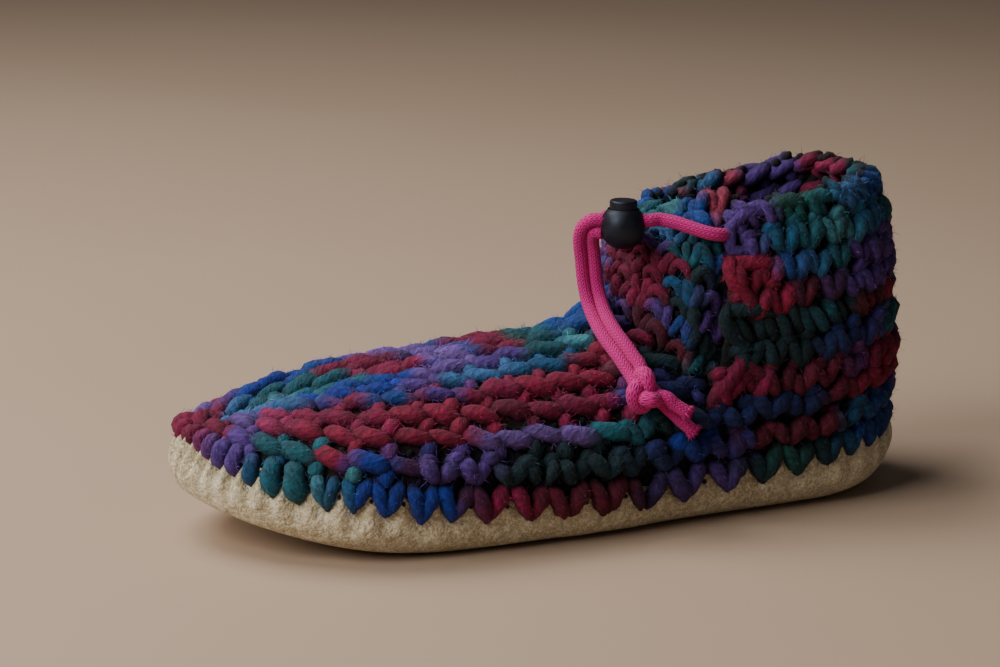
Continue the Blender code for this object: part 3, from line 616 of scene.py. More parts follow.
def moved(inset, height):
    # The outline moved inwards, at these heights.
    inset = np.broadcast_to(inset, count)[:, None]
    return np.column_stack([plan - outOf * inset, np.broadcast_to(height, count)])


start = moved(lean - shoe["skirt"], tip)


def collarOval(turn):
    # The collar's rim: a superellipse seen from above, turn 0 at the back, lower towards the front.
    half = (shoe["collarBack"] - shoe["collarFront"]) / 2
    side, back = np.sin(turn), np.cos(turn)
    x = np.sign(side) * np.abs(side) ** (2 / shoe["collarPower"]) * shoe["collarWidth"] / 2
    y = shoe["collarBack"] - half + np.sign(back) * np.abs(back) ** (2 / shoe["collarPower"]) * half
    z = shoe["collarHeight"] - shoe["collarDrop"] * ((shoe["collarBack"] - y) / (2 * half)) ** 2
    return np.column_stack([x, y, z])


def collarTurn():
    # The turn at which the outer quarter's front edge meets the rim.
    turn = np.linspace(0.5 * math.pi, math.pi, 400)
    return float(np.interp(-shoe["quarterY"], -collarOval(turn)[:, 1], turn))


def vampPaths():
    # From each column's foot to the ridge: a superellipse arc across and up, sweeping back near the throat.
    step = np.minimum(stepFrom / corner, 1)
    crowd = shoe["ridgeCrowd"]
    y = shoe["apexY"] + (shoe["throatY"] - shoe["apexY"]) * ((1 - crowd) * step + crowd * step**2)
    z = shoe["vampHeight"] * smooth(shoe["ridge"], y / shoe["length"] + 0.5)
    back = np.clip((shoe["throatY"] - y) / (shoe["throatY"] - shoe["apexY"]), 0, 1)
    end = np.column_stack([-shoe["ridgeTurn"] * shoe["toeTurn"] * back, y, z])
    step = step[:, None]
    turn = np.linspace(0, math.pi / 2, 61)[None]
    across = 1 - np.cos(turn) ** (2 / shoe["vampPower"]) + 0 * step
    rise = np.sin(turn) ** (2 / shoe["vampPower"]) + 0 * step
    forward = 1 - (1 - across) ** (1 + shoe["borderSweep"] * step**3)
    return start[:, None] + (end - start)[:, None] * np.stack([across, forward, rise], axis=2)


def anklePaths():
    # From each column's foot to the collar's rim.
    at = lengths(plan)
    share = np.clip((at - at[corner]) / (at[count - corner] - at[corner]), 0, 1)
    edge = collarTurn()
    line = collarOval(np.linspace(edge, -edge, 400))
    end = spread(line, lengths(line), share * lengths(line)[-1])
    rise = np.linspace(0, 1, 61)[None]
    leanY = rise ** (1 + shoe["ankleSweep"] * np.sin(math.pi * share[:, None]) ** 2)
    leanX = np.broadcast_to(rise**3, leanY.shape)
    up = np.broadcast_to(rise, leanY.shape)
    return start[:, None] + (end - start)[:, None] * np.stack([leanX, leanY, up], axis=2)


def rowsOf(paths, rows):
    # Rounds and the rows above them, in half rows, at equal shares of each path's length.
    total = shoe["rounds"] + rows
    low = np.arange(2 * shoe["rounds"] + 1) / 2 / total
    high = (shoe["rounds"] + np.arange(2 * rows + 1) / 2) / total
    found = []
    for path in paths:
        measure = lengths(path)
        found.append(spread(path, measure, np.concatenate([low, high]) * measure[-1]))
    found = np.array(found)
    return found[:, : len(low)], found[:, len(low):]


def joinedTo(low, high):
    # The upper rows start where the rounds end, a shift that fades with height.
    fade = np.linspace(1, 0, high.shape[1]) ** 2
    return high + (low[:, -1:] - high[:, :1]) * fade[None, :, None]


lowVamp, vamp = rowsOf(vampPaths(), shoe["vampRows"])
lowAnkle, ankle = rowsOf(anklePaths(), shoe["ankleRows"])
blend = ramp(stepFrom, corner - shoe["cornerBlend"], corner + shoe["cornerBlend"])[:, None, None]
low = (1 - blend) * lowVamp + blend * lowAnkle
vamp, ankle = joinedTo(low, vamp), joinedTo(low, ankle)


def dipped(points):
    # The inner side's rim is lower towards the front.
    x, y, z = np.moveaxis(points, -1, 0)
    dip = shoe["innerDip"] * ramp(z, 0.065, 0.105) * ramp(-x, 0.0, 0.030) * ramp(-y, -0.115, -0.085)
    return points - dip[..., None] * np.array([0, 0, 1.0])


ankle = dipped(ankle)
rowPitch = np.linalg.norm(low[:, 2] - low[:, 0], axis=1)
rim = tip + shoe["rimLap"] * rowPitch


def cubicWeights(t):
    # Weights of four points in a row for a smooth curve between the middle two.
    return (
        (-t + 2 * t**2 - t**3) / 2, (2 - 5 * t**2 + 3 * t**3) / 2,
        (t + 4 * t**2 - 3 * t**3) / 2, (t**3 - t**2) / 2,
    )


class Surface:
    # A grid of points [column, row, 3] and its outward normals, read anywhere between them by cubics.
    def __init__(self, points, firstColumn=0, flip=False):
        under, over = 2 * points[:, :1] - points[:, 1:2], 2 * points[:, -1:] - points[:, -2:-1]
        self.points = np.concatenate([under, points, over], axis=1)
        self.first, self.flip = firstColumn, flip
        normal = unit(np.cross(np.gradient(self.points, axis=0), np.gradient(self.points, axis=1)))
        self.normals = -normal if flip else normal

    def read(self, grid, column, row):
        c = np.clip(column - self.first, 0, len(grid) - 1.001)
        r = np.clip(row + 1, 0, grid.shape[1] - 1.001)
        i, j = c.astype(int), r.astype(int)
        total = 0
        for a, wa in enumerate(cubicWeights(c - i)):
            ia = np.clip(i + a - 1, 0, len(grid) - 1)
            for b, wb in enumerate(cubicWeights(r - j)):
                jb = np.clip(j + b - 1, 0, grid.shape[1] - 1)
                total = total + grid[ia, jb] * (wa * wb)[..., None]
        return total

    def at(self, column, row, out=0.0):
        # A point at this column and half row, moved out along the normal.
        out = np.asarray(out)[..., None] if np.ndim(out) else out
        return self.read(self.points, column, row) + unit(self.read(self.normals, column, row)) * out

    def outward(self, column, row):
        return unit(self.read(self.normals, column, row))


around = np.arange(-12, count + 13) % count
front = np.concatenate([low[:, :-1], vamp], axis=1)
back = np.concatenate([low[:, :-1], ankle], axis=1)
both = (1 - blend) * front[:, :11] + blend * back[:, :11]
sheets = {
    "round": Surface(both[around], -12),
    "vamp": Surface(front[np.arange(-corner - 8, corner + 9) % count], -corner - 8),
    "ankle": Surface(back[corner - 8 : count - corner + 9], corner - 8),
}


def tonguePoints():
    # A patch between the vamp's edge, the quarters and the rim, crowned in its middle.
    rows, columns = np.linspace(0, 1, 9), np.linspace(0, 1, 17)
    foot = np.vstack([vamp[corner], vamp[-corner, -2::-1]])
    foot = spread(foot, lengths(foot) / lengths(foot)[-1], columns)
    edge = collarTurn()
    top = collarOval(np.linspace(edge, 2 * math.pi - edge, 244))
    top = spread(top, lengths(top) / lengths(top)[-1], columns)
    sides = [spread(ankle[k], lengths(ankle[k]) / lengths(ankle[k])[-1], rows) for k in (corner, -corner)]
    c, r = columns[:, None, None], rows[None, :, None]
    corners = (1 - r) * ((1 - c) * foot[0] + c * foot[-1]) + r * ((1 - c) * top[0] + c * top[-1])
    points = (1 - r) * foot[:, None] + r * top[:, None] + (1 - c) * sides[0][None] + c * sides[1][None] - corners
    normal = unit(np.cross(np.gradient(points, axis=1), np.gradient(points, axis=0)))
    width = lengths(points[:, 4])[-1]
    inwards = ramp(np.minimum(columns, 1 - columns) * width, 0, shoe["tongueTurnIn"])
    tucked = (shoe["wall"] + shoe["tuckFit"]) * (1 - inwards)
    crown = np.outer(4 * columns * (1 - columns), np.sin(math.pi * rows ** shoe["tongueCrown"]))
    return dipped(points + normal * (shoe["tongueBulge"] * crown - tucked[:, None])[..., None])


tongueGrid = tonguePoints()
tongueEdges = 2 * tongueGrid[[0, -1]] - tongueGrid[[1, -2]]
sheets["tongue"] = Surface(np.concatenate([tongueEdges[:1], tongueGrid, tongueEdges[1:]]), -1, True)
print("form")

# soft lumps and grids


def lumps(points, size, seed, terms=14):
    # Soft noise from -1 to 1 with features of about this size: a sum of sines in random directions.
    own = np.random.default_rng(seed)
    directions = unit(own.normal(size=(terms, 3))) * (2 * math.pi / size) * own.uniform(0.6, 1.5, (terms, 1))
    phase = own.uniform(0, 2 * math.pi, terms)
    return np.sin(points @ directions.T + phase).sum(-1) / math.sqrt(terms)


def ladder(ring, facing):
    # Quads and triangles that close a ring, by rungs from its outer side to its inner side.
    half = len(ring) // 2
    i = np.arange(1, half - 1)
    quads = np.stack([ring[i], ring[-i], ring[-i - 1], ring[i + 1]], -1)
    triangles = np.array([(ring[0], ring[-1], ring[1]), (ring[half - 1], ring[half + 1], ring[half])])
    return (quads, triangles) if facing < 0 else (quads[:, ::-1], triangles[:, ::-1])


def shell(rings):
    # Rings [ring, column, 3] joined by quads, its first ring closed from below and its last from above.
    number = np.arange(rings[..., 0].size).reshape(rings.shape[:2])
    underQuads, underEnds = ladder(number[0], -1)
    overQuads, overEnds = ladder(number[-1], 1)
    return np.concatenate([ringQuads(number), underQuads, overQuads]), np.concatenate([underEnds, overEnds])


# suede sole

suede = {
    "perColumn": 6, "steps": 9, "rows": 27, "innerRows": 7,
    "pale": (0.72, 0.65, 0.46), "tan": (0.44, 0.36, 0.205), "frost": (0.90, 0.84, 0.66),
    "pit": (0.24, 0.18, 0.10), "hole": (0.012, 0.008, 0.006), "wearAndShade": 0.55, "shadeTop": 22 * mm,
    "fold": 1.0 * mm, "crease": 0.4 * mm, "creaseWide": 0.46, "slack": 0.5 * mm, "slackSize": 26 * mm,
    "holeWide": 0.75, "holeHeight": 3.4, "holePitch": 12.0,  # mm
}


def suedeRings():
    # The suede's outer face from the floor to its rim, as rings of the outline.
    wave = shoe["pucker"] * (1 - 2 * odd) * eased(shoe["puckers"], along)
    wide = base + shoe["sideHeight"]
    bend = shoe["sideBend"]
    return np.stack([
        moved(shoe["sideInset"], base), moved(0.33 * shoe["sideInset"], base + 0.26 * shoe["sideHeight"]),
        moved(0, wide), moved(bend * lean + wave, bend * wide + (1 - bend) * tip),
        moved(lean + shoe["rimPucker"] * wave, rim),
    ], axis=1)


def addSole():
    # The side of the suede: folds cos(pi column) that grow towards the rim, and a crease under each stitch.
    steps = suede["steps"]
    rings = np.array([
        spread(path, lengths(path), np.linspace(0, lengths(path)[-1], steps)) for path in suedeRings()])
    for _ in range(2):
        rings[:, 1:-1] = (rings[:, :-2] + 2 * rings[:, 1:-1] + rings[:, 2:]) / 4
    face = Surface(rings[around], -12)
    columns = np.arange(count * suede["perColumn"]) / suede["perColumn"]
    c, r = np.meshgrid(columns, np.linspace(0, steps - 1, suede["rows"]))
    puckered = np.interp(c, np.arange(count + 1), eased(shoe["puckers"], np.append(along, along[0])))
    share = r / (steps - 1)
    out = suede["fold"] * puckered * ramp(share, 0.35, 0.85) * -np.cos(math.pi * c) * 0.5
    near = np.abs((c + 1) % 2 - 1) / suede["creaseWide"]
    fade = ramp(share, 0.5, 0.8) * (1 - 0.6 * ramp(share, 0.85, 1))
    out -= suede["crease"] * puckered * np.exp(-(near**2)) * fade
    out += suede["slack"] * lumps(face.at(c, r), suede["slackSize"], 3) * ramp(share, 0.1, 0.35)
    outer = face.at(c, r, out)
    inner = face.at(*np.meshgrid(columns, np.linspace(steps - 1, 0, suede["innerRows"])), -shoe["suede"])
    lip = (outer[-1:] + inner[:1]) / 2 + np.array([0, 0, 0.4 * mm])
    rings = np.concatenate([outer, lip, inner])
    quads, triangles = shell(rings)
    # the UV map "stitch": stitches round the shoe, and mm above the tips of the V row
    c = np.broadcast_to(columns, rings.shape[:2]).reshape(-1)
    height = (rings[..., 2].reshape(-1) - np.interp(c, np.arange(count + 1), np.append(tip, tip[0]))) / mm
    uv = np.column_stack([c / 2, height])[np.concatenate([quads.reshape(-1), triangles.reshape(-1)])]
    block = uv[: quads.size].reshape(-1, 4, 2)
    wrap = np.ptp(block[..., 0], axis=1) > count / 4
    block[wrap, :, 0] = np.where(block[wrap, :, 0] < 1, count / 2, block[wrap, :, 0])
    addPiece(newMesh("suede_sole", rings, quads, triangles, {"stitch": uv}), suedeMaterial(), "suede", "sole")


def suedeMaterial():
    # Napped suede: cloudy cream and tan, pale frosted nap, darker tan low on its side as painted shade, with a
    # hole between stitches that is near-black with painted shade.
    material, wire, shader = newMaterial("napped_suede", Roughness=0.95, Sheen_Weight=0.12, Sheen_Roughness=0.6,
                                         Specular_IOR_Level=0.25)
    place, seam = wire.place(), wire.uv("stitch")
    cloud = place.noise(42.0, 4.0, 0.6).step(0.30, 0.72)
    blotch = place.noise(170.0, 3.0).step(0.38, 0.70)
    nap = place.noise(1500.0, 3.0, 0.7)
    frost = (nap * 0.7 + place.noise(520.0, 2.0) * 0.5).step(0.55, 0.72)
    pit = 1 - (nap * 0.8 + place.noise(700.0, 2.0) * 0.3).step(0.40, 0.54)
    # painted shade: the side turns darker tan close to the floor
    wearAndShade = (1 - place.part(2).step(0.0, suede["shadeTop"])) * suede["wearAndShade"]
    colour = wearAndShade.mix((cloud * 0.75 + blotch * 0.2).mix(suede["tan"], suede["pale"]), suede["tan"])
    colour = (frost * 0.7).mix(colour, suede["frost"])
    colour = (pit * 0.28).mix(colour, suede["pit"])
    aside = (seam.part(0).maths("FRACT") - 0.5) * suede["holePitch"]
    above = seam.part(1) - suede["holeHeight"]
    # painted shade: each stitch hole is filled near-black
    hole = 1 - ((aside * aside + above * above) ** 0.5).step(suede["holeWide"] * 0.6, suede["holeWide"] * 1.4)
    grainy = nap * 0.6 + place.cells(900.0) * 0.4 - hole * 2.0
    under = bumped(blotch + place.noise(420.0, 2.0) * 0.5, 0.6, 1.6 * mm)
    feed(shader, Base_Color=hole.mix(colour, suede["hole"]), Normal=bumped(grainy, 0.9, 0.6 * mm, under))
    return material


addSole()
print("suede sole")

# fleece insole

fleece = {
    "colour": (0.80, 0.74, 0.62), "deep": (0.48, 0.42, 0.32), "pile": 0.8 * mm, "fit": 0.4 * mm,
    "tufts": ((5 * mm, 0.6, 5), (2.4 * mm, 0.4, 6)),  # size, share and seed
    "inwards": (1.0, 0.93, 0.8, 0.6, 0.4, 0.2, 0.04),
}


def addInsole():
    # A pad: its side, then rings that shrink to the middle line, lifted by soft tufts.
    edge, thick = shoe["sideInset"] + shoe["suede"] + fleece["fit"], shoe["insole"]
    side, floor = edge - shoe["insoleTurn"], base + shoe["suede"] + fleece["fit"]
    top = moved(side + 1.2 * mm, floor + thick)
    middle = (top + top[-np.arange(count) % count]) / 2
    rings = [moved(edge, floor), moved(side, floor + 0.4 * thick), moved(side, floor + 0.85 * thick)]
    rings += [middle + (top - middle) * share for share in fleece["inwards"]]
    rows = np.concatenate([np.linspace(0, 3, 9)[:-1], np.linspace(3, 9, 34)])
    c, r = np.meshgrid(np.arange(2 * count) / 2, rows)
    spots = Surface(np.stack(rings, 1)[around], -12).at(c, r)
    tufted = sum(share * lumps(spots, size, seed) for size, share, seed in fleece["tufts"])
    spots[..., 2] += fleece["pile"] * tufted * ramp(r, 1.5, 3.2)
    addPiece(newMesh("fleece_pad", spots, *shell(spots)), fleeceMaterial(), "fleece", "fleece_insole")


def fleeceMaterial():
    # Curly pile, darker between its tufts as painted shade.
    material, wire, shader = newMaterial("sheep_fleece", Roughness=1.0, Sheen_Weight=0.5, Sheen_Roughness=0.5,
                                         Specular_IOR_Level=0.2)
    curl = wire.place().noise(620.0, 4.0, 0.7)
    between = 1 - wire.place().cells(260.0).step(0.05, 0.6)
    depth = (curl * 0.7 + between * 0.5).step(0.3, 0.8)
    feed(shader, Base_Color=depth.mix(fleece["deep"], fleece["colour"]),
         Normal=bumped(curl + between, 0.8, 0.7 * mm))
    return material


addInsole()
print("insole")

# yarn and its colours

yarn = {
    "crimson": (0.235, 0.0040, 0.057), "red": (0.268, 0.0055, 0.047), "darkRed": (0.125, 0.0042, 0.027),
    "maroon": (0.085, 0.0050, 0.024), "salmon": (0.420, 0.048, 0.110), "rose": (0.320, 0.018, 0.105),
    "mauve": (0.190, 0.032, 0.170), "purple": (0.095, 0.038, 0.260), "lilac": (0.170, 0.085, 0.360),
    "violet": (0.044, 0.028, 0.220), "plum": (0.072, 0.010, 0.070), "darkPurple": (0.032, 0.014, 0.082),
    "blue": (0.0060, 0.058, 0.290), "royal": (0.0060, 0.036, 0.345), "lightBlue": (0.038, 0.150, 0.380),
    "tealBlue": (0.0060, 0.088, 0.220), "teal": (0.0060, 0.115, 0.160), "paleTeal": (0.040, 0.200, 0.250),
    "greenTeal": (0.0040, 0.090, 0.078), "darkTeal": (0.0022, 0.028, 0.041), "darkBlue": (0.0060, 0.018, 0.120),
    "share": 0.72, "soft": 1.0, "innerShift": {"round": 1, "vamp": 2, "ankle": 3},
}

# The dyed runs of each row: a colour and the outline point where it ends, from the toe to the heel. The tongue's
# go across its stitches, from the outer side to the inner one.
rowRuns = {
    "round": (
        "crimson 4.6, mauve 6.5, purple 11.5, tealBlue 14, teal 16, paleTeal 18.3, tealBlue 20.3, royal 26.3, "
        "plum 28.2, crimson 30, darkRed 35.4, darkPurple 37.1, purple 40.7, darkTeal 42.5, greenTeal 44.3, "
        "darkTeal 46.3, tealBlue 48.3, blue 60",
        "crimson 7.5, purple 11, teal 16.6, red 19.3, royal 22.4, plum 24, purple 28.3, darkTeal 35.7, "
        "darkBlue 37.6, royal 39.7, violet 41, darkRed 46.5, tealBlue 49, blue 53, purple 60",
        "crimson 4, lilac 9.5, rose 12, crimson 15, red 26.8, lilac 33.3, teal 37, darkTeal 38.5, "
        "darkBlue 45.7, darkRed 48, red 60",
    ),
    "vamp": (
        "lightBlue 5, lilac 8, rose 12, crimson 20, red 28, crimson 35.6, violet 38, darkBlue 60",
        "lightBlue 11.5, violet 15.3, crimson 18, blue 20.8, crimson 22.5, purple 25.2, crimson 30, red 36.5, "
        "darkTeal 60",
        "lightBlue 7, royal 19.8, purple 23.2, lightBlue 29.5, tealBlue 34, red 38, crimson 60",
        "teal 10.7, blue 17, royal 20, lilac 26, purple 30.3, teal 35, paleTeal 37.8, purple 60",
        "paleTeal 6, teal 14, crimson 20.5, lilac 26, blue 27.3, crimson 31.5, greenTeal 33, teal 35.5, "
        "blue 60",
    ),
    "ankle": (
        "crimson 42, darkRed 47.2, purple 49, crimson 54, plum 60",
        "darkTeal 45, darkBlue 49, violet 51, teal 55, darkTeal 60",
        "darkTeal 44.5, teal 46, darkTeal 48.3, darkRed 52, red 54, darkTeal 60",
        "red 43.6, darkRed 44.6, plum 46, purple 56, violet 60",
        "red 42.7, blue 44.5, lightBlue 46, teal 47.6, purple 56, mauve 60",
        "purple 41.8, tealBlue 43.4, teal 45.3, paleTeal 49, tealBlue 54, teal 60",
        "purple 42.5, greenTeal 45, teal 47.5, lightBlue 51, blue 55, teal 60",
        # the inner side's upper rows: yarn colours, made bright as painted light
        "salmon 41.2, teal 43, lightBlue 44.5, salmon 46.5, purple 53, crimson 60",
    ),
    "tongue": (
        "teal 1, darkRed 2, maroon 3, purple 4, blue 6, teal 8",
        "darkTeal 1, blue 1.6, purple 2.4, crimson 4, violet 5, blue 6.5, teal 8",
        "purple 1, darkTeal 2, crimson 4.2, blue 5, teal 8",
        "purple 1, tealBlue 2.2, crimson 4.4, purple 6, blue 8",
        "violet 0.8, darkTeal 1.6, crimson 4.5, purple 8",
        "blue 1, teal 2, purple 3.2, lilac 4.4, purple 8",
        "teal 1.5, lightBlue 3, teal 5, blue 8",
        "salmon 0.8, blue 2, paleTeal 3.4, teal 5.5, blue 8",
    ),
}


def readRuns(runs):
    names, ends = zip(*(part.split() for part in runs.split(", ")))
    return np.array([yarn[name] for name in names]) * yarn["share"], np.array([float(end) for end in ends])


def innerRow(zone, row):
    # The inner side's rows borrow the runs of other rows. The ankle's upper inner rows take the last run: the
    # yarn's own colours, chosen bright as painted light on that inner wall by the rim.
    if zone == "vamp" and row > 2:
        return 4
    if zone == "ankle" and row > 4:
        return 7
    return (row + yarn["innerShift"].get(zone, 0)) % 7 % len(rowRuns[zone])


def dyeOf(zone, row, column):
    # The colour of a row at these columns, changing softly over about one stitch.
    tongue = zone == "tongue"
    row = int(np.clip(row, 0, len(rowRuns[zone]) - 1))
    inside = np.zeros(column.shape, bool) if tongue else column % count > count / 2
    place = column / 2 if tongue else np.where(inside, count - column % count, column % count)
    soft = yarn["soft"] / (4 if tongue else 1)
    found = 0
    for chosenRow, chosen in ((row, ~inside), (innerRow(zone, row), inside)):
        shades, ends = readRuns(rowRuns[zone][chosenRow])
        steps = [
            np.clip(np.searchsorted(ends, place + d * soft), 0, len(ends) - 1) for d in (-0.5, -0.2, 0.2, 0.5)]
        found = found + sum(shades[step] for step in steps) / len(steps) * chosen[..., None]
    return found


# stitches: points along the stitch (0 to 1), up the row (0 to 1), out of the wall (mm), radius (mm)

stitch = {
    "pitch": 11.5 * mm, "anklePitch": 9.2 * mm, "tonguePitch": 8.2 * mm, "insidePitch": 10.0 * mm,
    "rings": 10, "sides": 8, "insideSides": 6, "samples": 600, "inner": 0.75, "insideGap": 0.4 * mm,
    "lobes": 0.06, "twist": 1000.0, "lumpy": 0.22 * mm, "lumpSize": 6 * mm,
    "shake": (0.045, 0.045, 0.07, 0.35, 0.07, 0.08), "wave": 0.05, "wander": 0.35, "uneven": 0.14,
    "lobesTo": 17,  # columns from the toe
    "petalsFrom": ((1, 24, 0.2), (2, 35, 0.6)),  # the row, columns from the toe, and the row's shift
    "slantedRows": (2, 6), "tongueRows": 9,
    # up each front edge: the row, its dye and its shapes
    "edges": (
        (8.2, 6, ("turn",)), (6.5, 4, ("edgeOne", "edgeTwo")), (4.8, 2, ("edgeOne", "edgeTwo")),
        (3.0, 0, ("peakOne", "peakTwo")),
    ),
    "bead": (
        (-0.12, 0.84, -4.8, 2.1), (-0.02, 0.86, -2.9, 2.75), (0.22, 0.81, -1.7, 3.0), (0.5, 0.71, -1.4, 3.05),
        (0.78, 0.6, -1.8, 2.95), (0.98, 0.52, -3.1, 2.5), (1.07, 0.49, -5.0, 1.9),
    ),
    "nub": (
        (0.1, -0.02, -4.6, 1.8), (0.08, 0.06, -3.2, 2.4), (0.1, 0.2, -2.3, 2.6), (0.13, 0.34, -2.7, 2.5),
        (0.16, 0.44, -4.4, 1.8),
    ),
    "slantOne": (
        (-0.1, 1.12, -4.8, 1.4), (0.0, 0.96, -2.5, 2.2), (0.16, 0.68, -1.5, 2.55), (0.34, 0.34, -1.6, 2.5),
        (0.48, 0.04, -2.6, 2.0), (0.54, -0.12, -4.8, 1.4),
    ),
    "legOne": (
        (0.06, 1.2, -4.6, 1.4), (0.11, 1.0, -2.4, 2.3), (0.21, 0.68, -1.2, 2.75), (0.34, 0.3, -1.3, 2.6),
        (0.44, -0.04, -2.2, 1.8), (0.49, -0.26, -4.2, 0.9),
    ),
    "petal": (
        (0.03, 0.9, -4.4, 1.6), (0.09, 0.75, -2.2, 2.5), (0.19, 0.5, -1.0, 3.0), (0.32, 0.2, -1.1, 2.85),
        (0.43, -0.06, -2.0, 2.0), (0.48, -0.24, -3.8, 0.9),
    ),
    "cap": (
        (-0.24, 0.7, -4.4, 1.6), (-0.15, 0.84, -2.4, 2.4), (0.02, 0.93, -1.4, 2.75), (0.18, 0.86, -2.4, 2.4),
        (0.27, 0.72, -4.4, 1.6),
    ),
    "edgeOne": (
        (0.34, 1.04, -4.2, 1.5), (0.06, 1.0, -1.9, 2.4), (-0.07, 0.82, -1.0, 2.7), (0.06, 0.52, -0.9, 2.7),
        (0.27, 0.2, -1.2, 2.6), (0.48, -0.06, -2.5, 2.1), (0.57, -0.18, -4.4, 1.4),
    ),
    "peakOne": (
        (0.02, -0.22, -4.2, 1.6), (0.0, 0.02, -2.2, 2.5), (0.06, 0.36, -1.1, 2.8), (0.2, 0.7, -1.0, 2.6),
        (0.32, 0.98, -1.8, 1.9), (0.36, 1.12, -3.6, 1.2),
    ),
    "peakTwo": (
        (0.26, 1.04, -3.0, 1.4), (0.38, 0.86, -1.5, 2.2), (0.56, 0.62, -1.2, 2.6), (0.76, 0.36, -1.8, 2.5),
        (0.92, 0.14, -4.2, 1.6),
    ),
    "edgeTwo": (
        (-0.04, 0.88, -3.2, 1.8), (0.2, 0.99, -1.5, 2.5), (0.55, 0.93, -1.3, 2.6), (0.88, 0.78, -2.6, 2.2),
        (1.06, 0.68, -4.4, 1.4),
    ),
    "vOne": (
        (0.13, 1.06, -4.2, 1.5), (0.17, 0.86, -2.4, 2.5), (0.26, 0.6, -1.5, 2.85), (0.36, 0.33, -1.5, 2.6),
        (0.44, 0.09, -1.9, 2.0), (0.49, -0.12, -2.6, 0.9),
    ),
    "lobe": (
        (0.34, 1.24, -4.2, 1.7), (0.4, 1.04, -2.0, 2.9), (0.48, 0.72, -1.0, 3.35), (0.55, 0.38, -0.9, 3.45),
        (0.6, 0.12, -1.4, 3.0), (0.62, -0.04, -3.2, 1.8),
    ),
    "arch": (
        (0.06, -0.05, -4.4, 1.4), (0.08, 0.3, -2.2, 2.1), (0.24, 0.72, -1.2, 2.35), (0.5, 0.9, -0.9, 2.4),
        (0.76, 0.7, -1.3, 2.35), (0.9, 0.28, -2.4, 2.1), (0.93, -0.05, -4.4, 1.4),
    ),
    "turn": (
        (0.62, 0.62, -3.8, 1.6), (0.8, 0.86, -1.9, 2.3), (0.44, 0.98, -0.9, 2.5), (0.05, 0.74, -1.0, 2.5),
        (-0.14, 0.4, -1.4, 2.5), (0.1, 0.1, -1.2, 2.4), (0.52, 0.06, -2.1, 2.2), (0.86, 0.22, -4.2, 1.4),
    ),
    "rimBead": (
        (-0.12, -0.5, -3.6, 1.6), (0.06, -0.39, -2.5, 2.4), (0.35, -0.33, -2.1, 2.7), (0.65, -0.37, -2.2, 2.7),
        (0.92, -0.46, -2.8, 2.2), (1.08, -0.54, -4.2, 1.4),
    ),
}


def pair(name):
    # A shape and its mirror image.
    return stitch[name], [(1 - u, *rest) for u, *rest in stitch[name]]


def nodeOf(zone):
    return "tongue" if zone == "tongue" else "upper"


